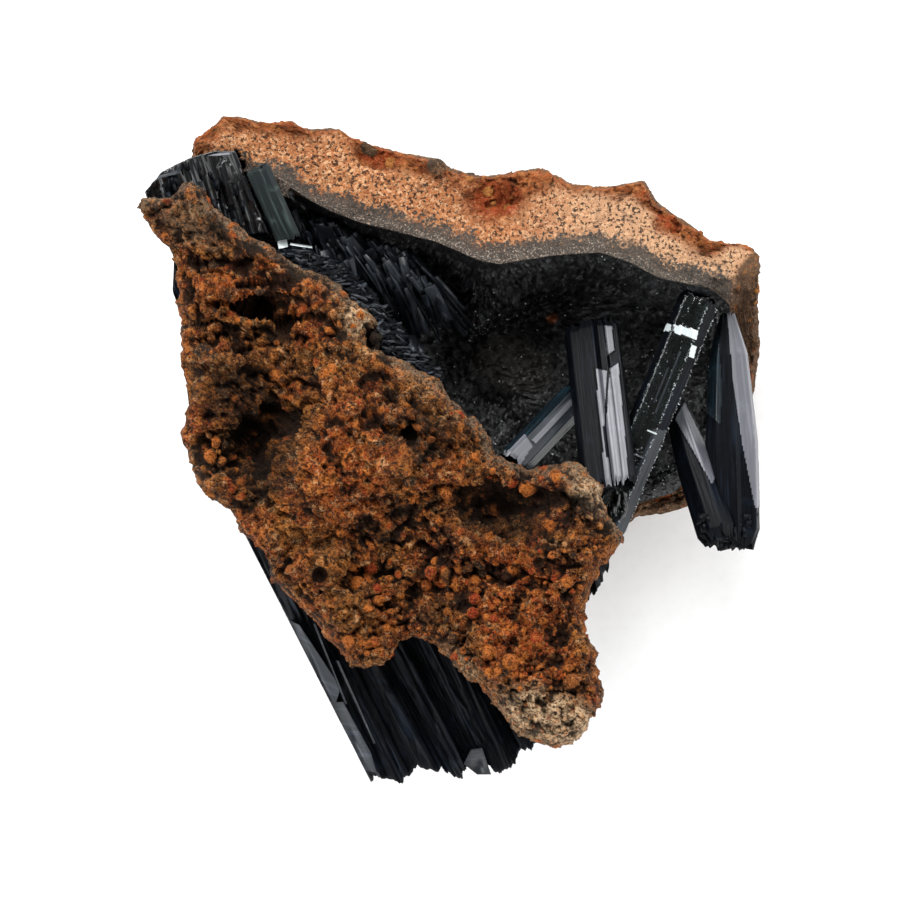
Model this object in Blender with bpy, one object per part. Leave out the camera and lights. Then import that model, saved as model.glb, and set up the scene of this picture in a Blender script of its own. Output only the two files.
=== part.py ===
"""Vivianite crystals in a broken shell of oolitic ironstone, as a Blender script.

Two slabs of ironstone hold a layer of dark vivianite blades between them. The back slab is
hollow, its hollow is lined with a crust of small crystals, and large prisms cross the hollow.
Metres, +Z up. The origin is at the middle of the footprint, on the surface it rests on.
"""
import bpy
import bmesh
import numpy as np

MM = 0.001

# Driving dimensions, in millimetres.
SHIFT = (-0.75, 0.1)            # moves the drawn outlines so that the origin is at the middle
GAP = 0.35                      # clearance between pieces that touch
SOCKET_REACH = 9.0              # how far the block's place is cleared above the broken face
SIDE_Z = 42.8                   # height of the front slab's widest line
FRONT_TOP = 49.5                # mean height of the front slab's weathered face
FRONT_UNDER = 40.6              # height of its underside
FRONT_EDGE = 3.0                # width over which that slab rounds off to its edge
FRONT_LEAN = (0.05, -0.03)      # rise of its face for each millimetre along X and Y
FRONT_MIDDLE = (-12.0, -5.0)    # point that the lean leaves at the mean height
RIM_HEIGHT = 40.0               # top of the back slab's broken face
FLOOR_HEIGHT = 12.0             # floor of the hollow
CRUST = 1.5                     # thickness of the crystal crust in the hollow
CRUST_LIFT = 2.4 * GAP          # its underside above the hollow's surface
FRONT_CELLS = 26                # grid cells along a side of the front slab
BACK_CELLS = 32                 # grid cells along a side of the back slab
CRUST_CELLS = 18                # of which the middle ones carry the crust

# Unevenness of the stone: size of its waves, their height and the seed.
FRONT_COARSE = (9.0, 1.5, 11)
FRONT_FINE = (4.5, 0.9, 12)
BACK_COARSE = (7.0, 0.9, 21)
UNDER_HOLLOWS = (13.0, 2.2, 31)
UNDER_BULGES = (7.0, 1.3, 32)
FLAT_SHARE = 0.9                # waves of the underside lower than this stay flat

# The front slab's outline, clockwise from its left tip, in four sides.
FRONT_DIAGONAL = (
    (-49.0, 38.5), (-48.4, 39.6), (-44.0, 39.8), (-42.0, 42.1), (-40.9, 42.4), (-38.5, 40.9),
    (-37.7, 38.5), (-34.9, 35.8), (-32.2, 33.6), (-28.6, 32.2), (-23.6, 28.3), (-19.7, 27.5),
    (-15.7, 24.1), (-12.9, 22.3), (-11.5, 19.2), (-12.7, 17.3), (-11.3, 15.9), (-7.9, 14.1),
    (-3.1, 11.3), (-1.6, 9.4), (1.9, 6.6), (5.8, 2.7), (6.9, -0.8), (12.6, -3.3), (14.9, -2.7),
    (18.1, -2.0), (20.1, -2.7), (23.6, -5.3), (23.7, -7.9), (25.5, -11.0), (27.4, -13.7))
FRONT_RIGHT = (
    (27.4, -13.7), (26.7, -14.9), (23.6, -18.4), (22.0, -22.0), (20.4, -25.5), (21.7, -29.1),
    (23.4, -32.2), (22.6, -33.8), (24.4, -37.7), (23.9, -39.6), (20.4, -45.3), (16.0, -46.7))
FRONT_BOTTOM = (
    (16.0, -46.7), (10.7, -44.8), (7.9, -40.4), (5.2, -37.1), (2.4, -35.8), (-1.1, -31.8),
    (-3.5, -29.9), (-5.5, -29.4), (-7.9, -29.9), (-9.1, -32.2), (-10.2, -33.3), (-13.2, -34.3),
    (-15.4, -34.0))
FRONT_LEFT = (
    (-15.4, -34.0), (-17.0, -31.8), (-22.3, -25.9), (-27.5, -20.9), (-28.6, -19.7), (-29.1, -16.0),
    (-33.0, -13.0), (-34.9, -9.1), (-37.4, -7.9), (-39.6, -5.5), (-42.3, 2.5), (-41.7, 3.9),
    (-40.9, 8.3), (-41.5, 11.8), (-42.6, 19.3), (-42.3, 22.8), (-43.1, 30.5), (-46.4, 33.8),
    (-49.0, 38.5))

# Lumps (+) and pits (-) of the weathered face: x, y, half length, half width, turn, height.
FRONT_RELIEF = (
    (-13.0, -2.0, 13.0, 10.5, 20, 5.6), (-17.5, 8.5, 4.0, 9.5, -20, 2.6),
    (-22.0, -6.5, 3.2, 6.0, -10, 2.2), (-29.5, 1.5, 3.8, 6.8, -25, -5.4),
    (8.0, -10.0, 8.5, 4.0, -5, -4.2), (-7.5, 2.2, 2.6, 2.2, 0, -3.0),
    (-13.0, -19.5, 6.0, 2.4, 15, -2.6), (-31.0, 25.0, 9.0, 1.8, -8, 1.4),
    (-27.0, 21.5, 7.5, 1.5, -12, -2.0), (-36.0, 12.0, 5.0, 4.0, 0, 1.6),
    (12.0, -35.0, 9.0, 6.0, -35, 2.0), (-1.0, -21.0, 9.0, 2.2, 18, -2.2),
    (18.0, -14.0, 5.0, 5.0, 0, 1.4), (-18.0, -24.0, 7.0, 4.0, -40, 1.2))

# The back slab's outline, clockwise from the upper left.
BACK_OUTLINE = (
    (-41.6, 46.8), (-41.1, 49.2), (-38.1, 51.8), (-36.4, 53.5), (-31.8, 52.6), (-25.4, 52.4),
    (-23.3, 51.0), (-17.9, 51.5), (-15.1, 49.5), (-7.9, 47.6), (-2.1, 46.5), (0.2, 44.8),
    (4.8, 43.8), (14.3, 44.9), (20.3, 42.2), (25.7, 41.9), (31.0, 43.0), (33.0, 39.6),
    (37.6, 36.5), (42.0, 33.2), (46.8, 32.9), (49.5, 31.3), (49.8, 24.2), (50.5, 16.9),
    (49.9, 12.3), (49.4, 8.2), (47.8, 1.6), (44.5, -4.9), (39.4, -9.2), (35.2, -10.1),
    (30.4, -11.0), (22.9, -18.0), (11.5, -24.5), (-1.6, -26.2), (-14.7, -22.9), (-26.2, -14.7),
    (-35.2, -3.3), (-39.6, 9.8), (-41.4, 22.9), (-42.2, 36.0))
# The hollow's edge, in the same sense. Its upper part is the edge of the broken face.
RIM_OUTLINE = (
    (-33.8, 43.3), (-26.7, 42.2), (-24.5, 39.5), (-19.8, 38.2), (-14.2, 36.0), (-7.9, 34.4),
    (-2.1, 32.9), (4.7, 29.9), (7.9, 29.4), (16.6, 30.8), (23.7, 31.3), (28.4, 29.7),
    (33.2, 27.2), (41.6, 25.6), (44.6, 23.6), (46.2, 19.0), (46.6, 11.5), (45.0, 3.3),
    (41.2, -3.6), (36.5, -7.2), (30.4, -9.0), (21.9, -15.4), (11.0, -21.4), (-1.6, -23.1),
    (-13.6, -19.8), (-24.2, -11.9), (-32.4, -1.4), (-36.6, 11.0), (-38.4, 23.4), (-38.2, 36.0))
HOLLOW_CENTRE = (3.2, 17.0)
# Height of the hollow's edge by bearing from that centre, in degrees from +X.
RIM_BEARINGS = (-180, -140, -90, -50, -30, -8, 2, 14, 90, 143, 155, 180)
RIM_HEIGHTS = (16.5, 16.5, 16, 14, 13.5, 15, 20, 38.5, 40, 38, 17, 16.5)
# Pits and lumps of the broken face, in the same form as FRONT_RELIEF.
BROKEN_RELIEF = (
    (7.2, 39.0, 4.4, 3.0, 0, -2.6), (-11.5, 46.2, 3.4, 1.8, -10, -1.6), (-2.0, 45.2, 1.4, 1.4, 0, 1.2),
    (34.4, 35.6, 2.2, 1.6, -30, -1.4), (30.0, 41.0, 3.0, 1.8, 0, 1.0), (-35.0, 49.0, 4.0, 3.0, 0, 0.8))


# Rings of the back slab, as shares of the way from the hollow's middle to the widest line.
FOOT, BELLY, EDGE, OUTER = 7 / 16, 8 / 16, 9 / 16, 15 / 16
WALL_RUN = 5.0                  # how far the hollow's wall leans in from edge to foot
WALL_BELLY = 1.3                # how far its belly undercuts the edge
EDGE_DROP = 9.0                 # height of the edge above the belly
SIDE_DROP = 8.0                 # height of the broken face above the widest line

# Fans of blades: ends under the front slab and free ends.
LOWER_TOPS = (
    (-40.9, 2.9), (-41.7, 11.1), (-41.8, 19.0), (-43.9, 25.3), (-43.6, 30.4), (-37.2, 31.3),
    (-30.9, 27.8), (-23.8, 22.4), (-18.6, 16.7), (-15.5, 11.9), (-8.7, 7.3), (-1.6, 1.0),
    (3.4, -2.6), (9.4, -4.2), (16.0, -4.6), (20.8, -6.0), (20.9, -12.3), (25.4, -14.4))
LOWER_TIPS = (
    (-12.5, -53.3), (-9.9, -53.4), (-6.4, -52.5), (-1.6, -51.4), (0.8, -52.6), (3.8, -52.5),
    (6.4, -51.8), (9.3, -51.2), (12.2, -49.1), (14.4, -48.3), (17.6, -45.3), (21.1, -42.9),
    (21.7, -38.4), (21.0, -32.0), (19.4, -27.2), (21.6, -24.5), (24.0, -22.4), (26.2, -17.6))
BLOCK_TOPS = ((-48.4, 40.6), (-45.6, 44.0), (-41.2, 46.2), (-37.3, 47.3), (-33.8, 47.2))
BLOCK_TIPS = ((-46.8, 35.4), (-41.2, 33.6), (-37.0, 34.4), (-33.6, 33.4), (-28.6, 34.4))
FRINGE_TOPS = ((-29.0, 30.3), (-26.1, 27.9), (-21.8, 25.3), (-17.4, 22.1), (-14.6, 18.2),
               (-11.4, 13.9), (-7.1, 11.1), (-4.0, 8.7))
FRINGE_TIPS = ((-25.1, 33.7), (-21.9, 31.8), (-16.7, 29.9), (-13.4, 26.4), (-9.2, 21.9),
               (-5.7, 17.5), (-4.1, 15.6), (-1.6, 12.4))
BLADE_TOP = 40.1                # blades end below the front slab's underside
BLADE_STEP = 2.4                # most that a blade lies below that height at its free end
# Height of a fan's underside at its two ends, how far its top falls, and its seed.
LOWER_LAYER = ((17.8, 25.0), 4.0, 51)
BLOCK_LAYER = ((20.9, 20.9), 0.5, 52)
FRINGE_LAYER = ((33.0, 30.0), 3.5, 53)

# Prisms: the two ends of each axis, x, y, z.
SHORT_ENDS = ((10.1, -2.3, 34.4), (20.3, 8.3, 26.5))
PAIR_ENDS = ((22.6, 20.2, 27.5), (25.3, -5.8, 38.2))
LONG_ENDS = ((39.4, 23.2, 32.2), (24.6, -13.0, 30.4))
CROSS_ENDS = ((35.9, 8.8, 24.5), (42.8, -14.0, 33.0))
RIGHT_ENDS = ((44.4, 21.6, 29.6), (45.7, -15.3, 29.6))
CLEAVED_ENDS = ((-30.6, 44.5, 40.6), (-25.7, 33.4, 38.1))

# Cross-sections of the prisms, across and up, in order round the crystal.
SHORT_SECTION = ((-2.7, -0.4), (-1.5, 1.3), (1.4, 1.5), (2.8, 0.2), (1.8, -1.6), (-1.6, -1.8))
PAIR_SECTION = ((-4.4, -1.2), (-3.6, 0.3), (0.2, 1.7), (0.6, 1.2), (0.9, 1.9), (1.9, 1.9), (2.1, 1.4),
                (2.3, 1.8), (4.1, 1.7), (4.4, 0.2), (3.0, -2.0), (0.6, -1.7), (-2.6, -2.6))
LONG_SECTION = ((-3.2, -0.2), (-2.2, 1.5), (1.6, 2.0), (3.2, 0.7), (2.6, -1.5), (0.4, -2.2), (-2.4, -1.7))
CROSS_SECTION = ((-3.0, -1.6), (-0.9, 1.5), (1.1, 1.9), (2.9, -0.2), (1.8, -2.1), (-1.8, -2.4))
RIGHT_SECTION = ((-4.0, -1.5), (-2.6, 1.2), (0.4, 2.1), (1.1, 1.7), (3.4, 1.6), (4.0, -0.4),
                 (1.8, -2.5), (-2.2, -2.6))
CLEAVED_SECTION = ((-1.8, -0.9), (-1.7, 0.7), (1.3, 1.1), (2.1, 0.6), (2.0, -1.0))
# Where a prism changes width: share of the way along it, and scale of its section.
BROKEN_ENDS = ((0, 0.86), (0.04, 1), (0.97, 1), (1, 0.9))
RIGHT_TAPER = ((0, 0.3), (0.17, 0.75), (0.55, 1.05), (0.93, 1), (1, 0.72))
CROSS_TAPER = ((0, 0.45), (0.15, 0.75), (0.5, 1), (0.94, 1.05), (1, 0.8))

def uneven(points, cell, height, seed):
    """Smooth waves up to `height`: random values at the corners of cubes of side `cell`, blended."""
    table = np.random.default_rng(seed).uniform(-1, 1, (32, 32, 32))
    scaled = points / cell
    corner = np.floor(scaled).astype(int)
    part = scaled - corner
    part = part * part * (3 - 2 * part)
    total = np.zeros(points.shape[:-1])
    for step in np.ndindex(2, 2, 2):
        index = (corner + step) % 32
        weight = np.where(step, part, 1 - part).prod(axis=-1)
        total += weight * table[index[..., 0], index[..., 1], index[..., 2]]
    return height * total


def relief(x, y, bumps):
    """Sum of rounded bumps, each exp(-q^3), q the distance in a turned ellipse's half widths."""
    height = np.zeros_like(x)
    for centre_x, centre_y, long, wide, turn, rise in bumps:
        angle = np.radians(turn)
        along = (x - centre_x) * np.cos(angle) + (y - centre_y) * np.sin(angle)
        across = (y - centre_y) * np.cos(angle) - (x - centre_x) * np.sin(angle)
        height += rise * np.exp(-((along / long) ** 2 + (across / wide) ** 2) ** 1.5)
    return height


def eased(count):
    """Values from 0 to 1 that crowd a little towards both ends."""
    even = np.linspace(0, 1, count + 1)
    return 0.45 * even + 0.55 * (0.5 - 0.5 * np.cos(np.pi * even))


def along_line(points, shares):
    """Points at the given shares of a broken line's length."""
    points = np.array(points, float)
    lengths = np.concatenate([[0], np.cumsum(np.linalg.norm(np.diff(points, axis=0), axis=1))])
    target = np.asarray(shares) * lengths[-1]
    return np.stack([np.interp(target, lengths, axis) for axis in points.T], axis=-1)


def patch_between(top, right, bottom, left, cells):
    """Grid of plan points between four sides, each side blended into the opposite one."""
    share = eased(cells)
    upper = along_line(top, share)[None, :, :]
    lower = along_line(bottom[::-1], share)[None, :, :]
    west = along_line(left, share)[:, None, :]
    east = along_line(right[::-1], share)[:, None, :]
    u = share[None, :, None]
    v = share[:, None, None]
    corners = ((1 - u) * (1 - v) * lower[:, :1] + u * (1 - v) * lower[:, -1:]
               + (1 - u) * v * upper[:, :1] + u * v * upper[:, -1:])
    return relaxed((1 - v) * lower + v * upper + (1 - u) * west + u * east - corners)


def relaxed(plan, rounds=400):
    """The grid with its inner points moved until its lines lie smoothly inside the border.

    Each round solves the elliptic grid equation a*P_uu - 2b*P_uv + c*P_vv = 0 once, where a, b
    and c are the products of the grid's own slopes, so no cell folds over at a notch.
    """
    for _ in range(rounds):
        across = (plan[1:-1, 2:] - plan[1:-1, :-2]) / 2
        along = (plan[2:, 1:-1] - plan[:-2, 1:-1]) / 2
        a = (along ** 2).sum(-1, keepdims=True)
        b = (across * along).sum(-1, keepdims=True)
        c = (across ** 2).sum(-1, keepdims=True)
        mixed = (plan[2:, 2:] - plan[2:, :-2] - plan[:-2, 2:] + plan[:-2, :-2]) / 4
        sides = a * (plan[1:-1, 2:] + plan[1:-1, :-2]) + c * (plan[2:, 1:-1] + plan[:-2, 1:-1])
        plan[1:-1, 1:-1] = (sides - 2 * b * mixed) / (2 * (a + c))
    return plan


def distance_to_outline(plan, outline):
    """Shortest distance from each plan point to a closed outline."""
    start = np.array(outline, float)
    edge = np.roll(start, -1, axis=0) - start
    best = np.full(plan.shape[:-1], 1e9)
    for origin, run in zip(start, edge):
        length = run @ run
        if length > 0:
            share = np.clip(((plan - origin) @ run) / length, 0, 1)
            nearest = origin + share[..., None] * run
            best = np.minimum(best, np.linalg.norm(plan - nearest, axis=-1))
    return best


def reach_of(outline, centre, bearing):
    """Distance from the centre to the outline along each bearing, in radians."""
    points = np.array(outline, float) - centre
    angles = np.arctan2(points[:, 1], points[:, 0])
    points = points[np.argsort(angles)]
    angles = np.sort(angles)
    after = np.searchsorted(angles, bearing) % len(angles)
    first = points[after - 1]
    run = points[after] - first
    ray = np.stack([np.cos(bearing), np.sin(bearing)], axis=-1)
    cross = ray[..., 0] * run[..., 1] - ray[..., 1] * run[..., 0]
    return (first[..., 0] * run[..., 1] - first[..., 1] * run[..., 0]) / cross


def disc_grid(cells):
    """Ring (0 to 1) and bearing of each point of a square grid wrapped round into a disc."""
    line = np.linspace(-1, 1, cells + 1)
    a, b = np.meshgrid(line, line)
    ring = np.maximum(np.abs(a), np.abs(b))
    safe = np.where(ring > 0, ring, 1)
    wide = np.abs(a) >= np.abs(b)
    bearing = np.where(wide, (b / np.where(wide, np.where(a == 0, 1, a), 1)) * np.pi / 4,
                       np.pi / 2 - (a / np.where(wide, 1, safe * np.sign(b) + (b == 0))) * np.pi / 4)
    flip = np.where(wide, a < 0, b < 0)
    bearing = np.where(flip, bearing + np.pi, bearing)
    return ring, (bearing + np.pi) % (2 * np.pi) - np.pi


def border(rows, columns):
    """Row and column of each point round a grid's edge, in order; the sizes are in cells."""
    down, across = np.arange(rows), np.arange(columns)
    row = np.concatenate([0 * across, down, 0 * across + rows, rows - down])
    column = np.concatenate([across, 0 * down + columns, columns - across, 0 * down])
    return row, column


def sheet_faces(rows, columns, first=0):
    """Quads of a grid whose points are numbered row by row from `first`."""
    row, column = np.divmod(np.arange(rows * columns), columns)
    a = first + row * (columns + 1) + column
    return np.stack([a, a + 1, a + columns + 2, a + columns + 1], axis=1)


def closed_pair(upper, lower):
    """Two grids of one size, joined by a strip of quads round their edges."""
    rows, columns = upper.shape[0] - 1, upper.shape[1] - 1
    points = np.concatenate([upper.reshape(-1, 3), lower.reshape(-1, 3)])
    second = (rows + 1) * (columns + 1)
    row, column = border(rows, columns)
    edge = row * (columns + 1) + column
    after = np.roll(edge, -1)
    strip = np.stack([edge, edge + second, after + second, after], axis=1)
    top = sheet_faces(rows, columns)
    under = sheet_faces(rows, columns, second)[:, ::-1]
    return points, np.concatenate([top, under, strip]).tolist()


def sewn_pair(upper, lower):
    """Two square grids over one area, which share the points of their border."""
    cells = upper.shape[0] - 1
    second = (cells + 1) ** 2
    points = np.concatenate([upper.reshape(-1, 3), lower.reshape(-1, 3)])
    row, column = border(cells, cells)
    edge = row * (cells + 1) + column
    index = second + np.arange(second)
    index[edge] = edge
    faces = sheet_faces(cells, cells).tolist() + index[sheet_faces(cells, cells)[:, ::-1]].tolist()
    return points, faces


def build(name, points, faces, material):
    """A closed mesh object from points in millimetres, with its faces turned outwards."""
    mesh = bpy.data.meshes.new(name)
    placed = (np.asarray(points, float) + (SHIFT[0], SHIFT[1], 0)) * MM
    mesh.from_pydata(placed.tolist(), [], faces)
    shape = bmesh.new()
    shape.from_mesh(mesh)
    loose = [vertex for vertex in shape.verts if not vertex.link_faces]
    bmesh.ops.delete(shape, geom=loose, context="VERTS")
    bmesh.ops.triangulate(shape, faces=shape.faces[:])
    bmesh.ops.recalc_face_normals(shape, faces=shape.faces[:])
    if shape.calc_volume(signed=True) < 0:
        bmesh.ops.reverse_faces(shape, faces=shape.faces[:])
    shape.to_mesh(mesh)
    shape.free()
    mesh.materials.append(material)
    thing = bpy.data.objects.new(name, mesh)
    bpy.context.collection.objects.link(thing)
    return thing


def finish(name, colour, roughness, clear=0.0):
    """A plain Principled material, from a linear colour."""
    material = bpy.data.materials.new(name)
    material.use_nodes = True
    shader = material.node_tree.nodes["Principled BSDF"]
    shader.inputs["Base Color"].default_value = (*colour, 1)
    shader.inputs["Roughness"].default_value = roughness
    shader.inputs["Metallic"].default_value = 0.0
    shader.inputs["Transmission Weight"].default_value = clear
    return material


def front_height(plan):
    """Height of the front slab's weathered face over a plan point."""
    x, y = plan[..., 0], plan[..., 1]
    spot = np.stack([x, y, np.zeros_like(x)], axis=-1)
    rough = uneven(spot, *FRONT_COARSE) + uneven(spot, *FRONT_FINE)
    lean = FRONT_LEAN[0] * (x - FRONT_MIDDLE[0]) + FRONT_LEAN[1] * (y - FRONT_MIDDLE[1])
    return FRONT_TOP + lean + relief(x, y, FRONT_RELIEF) + rough


def make_matrix_front(material):
    """Front slab: a grid between its four sides, domed above and below its widest line."""
    plan = patch_between(FRONT_DIAGONAL, FRONT_RIGHT, FRONT_BOTTOM, FRONT_LEFT, FRONT_CELLS)
    outline = FRONT_DIAGONAL[:-1] + FRONT_RIGHT[:-1] + FRONT_BOTTOM[:-1] + FRONT_LEFT[:-1]
    inset = np.clip(distance_to_outline(plan, outline) / FRONT_EDGE, 0, 1)
    dome = np.sqrt(1 - (1 - inset) ** 2)
    upper = SIDE_Z + (front_height(plan) - SIDE_Z) * dome
    under = SIDE_Z + (FRONT_UNDER - SIDE_Z) * dome
    top = np.concatenate([plan, upper[..., None]], axis=-1)
    bottom = np.concatenate([plan, under[..., None]], axis=-1)
    build("matrix_front", *sewn_pair(top, bottom), material)


def back_surface(ring, bearing, lift=0.0):
    """Upper surface of the back slab, from the hollow's floor over its edge to the widest line.

    Stations run outwards along each bearing: middle of the floor, foot of the wall, belly of the
    wall, edge of the hollow, outer edge of the broken face, widest line. `lift` moves the surface
    into the hollow: up off the floor, and towards the middle off the wall.
    """
    outer = reach_of(BACK_OUTLINE, HOLLOW_CENTRE, bearing)
    inner = np.minimum(reach_of(RIM_OUTLINE, HOLLOW_CENTRE, bearing), outer - 1.5)
    rim = np.interp(np.degrees(bearing), RIM_BEARINGS, RIM_HEIGHTS)
    wall = np.clip((rim - FLOOR_HEIGHT) / (RIM_HEIGHT - FLOOR_HEIGHT), 0, 1)
    foot = np.minimum(FLOOR_HEIGHT + 1.5, rim - 0.4)
    stations = (0, FOOT, BELLY, EDGE, OUTER, 1)
    reaches = (0 * outer, inner - 2.0 - WALL_RUN * wall, inner - 1.0 + WALL_BELLY * wall, inner,
               outer - 0.9, outer)
    belly = np.maximum(foot + 0.2, rim - EDGE_DROP * wall - 0.2)
    heights = (FLOOR_HEIGHT + 0 * outer, foot, belly, rim,
               rim - 1.4 - 0.6 * wall, rim - 3.0 - SIDE_DROP * wall)
    reach = np.zeros_like(ring)
    height = np.zeros_like(ring)
    for k in range(len(stations) - 1):
        share = (ring - stations[k]) / (stations[k + 1] - stations[k])
        here = (share >= 0) & (share <= 1)
        reach = np.where(here, reaches[k] * (1 - share) + reaches[k + 1] * share, reach)
        height = np.where(here, heights[k] * (1 - share) + heights[k + 1] * share, height)
    x = HOLLOW_CENTRE[0] + reach * np.cos(bearing)
    y = HOLLOW_CENTRE[1] + reach * np.sin(bearing)
    outside = np.clip((1 - ring) / (1 - OUTER), 0, 1)
    band = np.clip((ring - EDGE) / (1 - OUTER), 0, 1) * outside
    rough = uneven(np.stack([x, y, height], axis=-1), *BACK_COARSE) * outside
    rough = rough * np.where(ring < BELLY, 1.3, 0.6)
    height = height + relief(x, y, BROKEN_RELIEF) * band * wall + rough
    inward = lift * np.interp(ring, (0, FOOT, 1), (0, 1, 1))
    raised = lift * np.interp(ring, (0, FOOT, EDGE), (1, 1, -0.3)) * wall + lift * (1 - wall)
    x = x - inward * np.cos(bearing)
    y = y - inward * np.sin(bearing)
    return np.stack([x, y, height + raised], axis=-1)


def back_underside(ring, bearing):
    """Underside of the back slab: it curves down from the widest line to flats on the surface."""
    edge = back_surface(np.ones_like(ring), bearing)
    outer = reach_of(BACK_OUTLINE, HOLLOW_CENTRE, bearing)
    reach = outer * np.interp(ring, (0, 0.75, 0.9, 1), (0, 0.8, 0.95, 1))
    x = HOLLOW_CENTRE[0] + reach * np.cos(bearing)
    y = HOLLOW_CENTRE[1] + reach * np.sin(bearing)
    curve = np.interp(ring, (0, 0.62, 0.8, 0.9, 1), (0, 0, 0.16, 0.45, 1))
    spot = np.stack([x, y, 0 * x], axis=-1)
    bulge = uneven(spot, *UNDER_BULGES) * np.interp(ring, (0.6, 0.75, 0.9, 0.97), (0, 1, 1, 0))
    x = x + bulge * np.cos(bearing)
    y = y + bulge * np.sin(bearing)
    hollow = np.maximum(uneven(spot, *UNDER_HOLLOWS) - FLAT_SHARE, 0)
    lift = np.where(ring < 0.99, hollow * np.clip((1 - ring) * 6, 0, 1), 0)
    return np.stack([x, y, curve * edge[..., 2] + lift], axis=-1)


def make_matrix_back(material):
    """Back slab with its hollow; the flats of its underside carry the whole specimen."""
    top = back_surface(*disc_grid(BACK_CELLS))
    bottom = back_underside(*disc_grid(BACK_CELLS))
    return build("matrix_back", *sewn_pair(top, bottom), material)


def make_druse(material):
    """Crust of small crystals: the hollow's own surface, lifted off it by the gap and the crust."""
    ring, bearing = disc_grid(BACK_CELLS)
    first = (BACK_CELLS - CRUST_CELLS) // 2
    inside = slice(first, first + CRUST_CELLS + 1)
    ring, bearing = ring[inside, inside], bearing[inside, inside]
    facets = CRUST * np.random.default_rng(41).uniform(0.55, 1.5, ring.shape)
    thick = np.where(ring > (BELLY + EDGE) / 2, 0.4 * CRUST, facets)
    lower = back_surface(ring, bearing, CRUST_LIFT)
    upper = back_surface(ring, bearing, CRUST_LIFT + thick)
    return build("vivianite_druse", *closed_pair(upper, lower), material)


def blade_fan(name, tops, tips, under, drop, seed, material):
    """Blades side by side: each runs from a line under the slab to its free end.

    Across a blade the top is one flat facet whose two sides have their own heights, so
    neighbours meet in a step; along it the top falls by `drop` with the square of the way.
    """
    blades = len(tops) - 1
    chance = np.random.default_rng(seed)
    place = np.repeat(np.arange(blades), 2) + np.tile((0.05, 0.95), blades)
    lines = np.arange(blades + 1)
    start = np.stack([np.interp(place, lines, axis) for axis in np.array(tops).T], axis=-1)
    end = np.stack([np.interp(place, lines, axis) for axis in np.array(tips).T], axis=-1)
    way = np.linspace(0, 1, 5)[:, None]
    plan = start + (end - start) * way[..., None]
    step = chance.uniform(0, BLADE_STEP, 2 * blades) * np.minimum(0.15 + 1.7 * way, 1)
    crest = BLADE_TOP - step - drop * chance.uniform(0.5, 1, 2 * blades) * way ** 2
    base = under[0] + (under[1] - under[0]) * way ** 1.5 + chance.uniform(0, 1.6, 2 * blades)
    upper = np.concatenate([plan, crest[..., None]], axis=-1)
    lower = np.concatenate([plan, base[..., None]], axis=-1)
    return build(name, *closed_pair(upper, lower), material)


def prism(name, ends, section, material, cuts=BROKEN_ENDS):
    """A cross-section carried along an axis; `cuts` gives its share of the way and its scale."""
    start, end = np.array(ends[0], float), np.array(ends[1], float)
    axis = end - start
    along = axis / np.linalg.norm(axis)
    across = np.cross((0, 0, 1), along)
    across = across / np.linalg.norm(across)
    up = np.cross(across, along)
    up = up if up[2] > 0 else -up
    section = np.array(section)
    rings = [start + axis * way + scale * (section[:, :1] * across + section[:, 1:] * up)
             for way, scale in cuts]
    count = len(section)
    faces = [[k * count + i, k * count + (i + 1) % count, (k + 1) * count + (i + 1) % count,
              (k + 1) * count + i] for k in range(len(cuts) - 1) for i in range(count)]
    faces.append(list(range(count)))
    faces.append([(len(cuts) - 1) * count + i for i in range(count)])
    return build(name, np.concatenate(rings), faces, material)


def combine(base, other, operation):
    """Unites a solid with another, or cuts it by the other, which is then only a guide."""
    change = base.modifiers.new(operation.lower(), "BOOLEAN")
    change.operation = operation
    change.solver = "EXACT"
    change.object = other
    other.hide_render = True
    other.display_type = "WIRE"


def make_block_socket(material):
    """Upright prism a gap wider than the block, which clears its place in the back slab."""
    ring = np.array(BLOCK_TOPS + BLOCK_TIPS[::-1])
    middle = ring.mean(axis=0)
    away = ring - middle
    ring = ring + 1.6 * GAP * away / np.linalg.norm(away, axis=1, keepdims=True)
    count = len(ring)
    floor = np.full((count, 1), BLOCK_LAYER[0][0] - GAP)
    above = np.full((count, 1), RIM_HEIGHT + SOCKET_REACH)
    points = np.concatenate([np.hstack([ring, floor]), np.hstack([ring, above])])
    faces = [[i, (i + 1) % count, count + (i + 1) % count, count + i] for i in range(count)]
    ends = [list(range(count)), list(range(count, 2 * count))]
    return build("block_socket", points, faces + ends, material)


def make_crystals(dark, pale, clear):
    """The massive blades between the slabs, and the prisms across the hollow."""
    blade_fan("lower_blades", LOWER_TOPS, LOWER_TIPS, *LOWER_LAYER, dark)
    blade_fan("upper_block", BLOCK_TOPS, BLOCK_TIPS, *BLOCK_LAYER, dark)
    blade_fan("fringe_blades", FRINGE_TOPS, FRINGE_TIPS, *FRINGE_LAYER, dark)
    prism("cleaved_blade", CLEAVED_ENDS, CLEAVED_SECTION, pale)
    prism("short_prism", SHORT_ENDS, SHORT_SECTION, pale)
    prism("prism_pair", PAIR_ENDS, PAIR_SECTION, pale)
    prism("long_prism", LONG_ENDS, LONG_SECTION, clear)
    right = prism("right_prisms", RIGHT_ENDS, RIGHT_SECTION, pale, RIGHT_TAPER)
    cross = prism("cross_prism", CROSS_ENDS, CROSS_SECTION, pale, CROSS_TAPER)
    combine(right, cross, "UNION")


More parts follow.
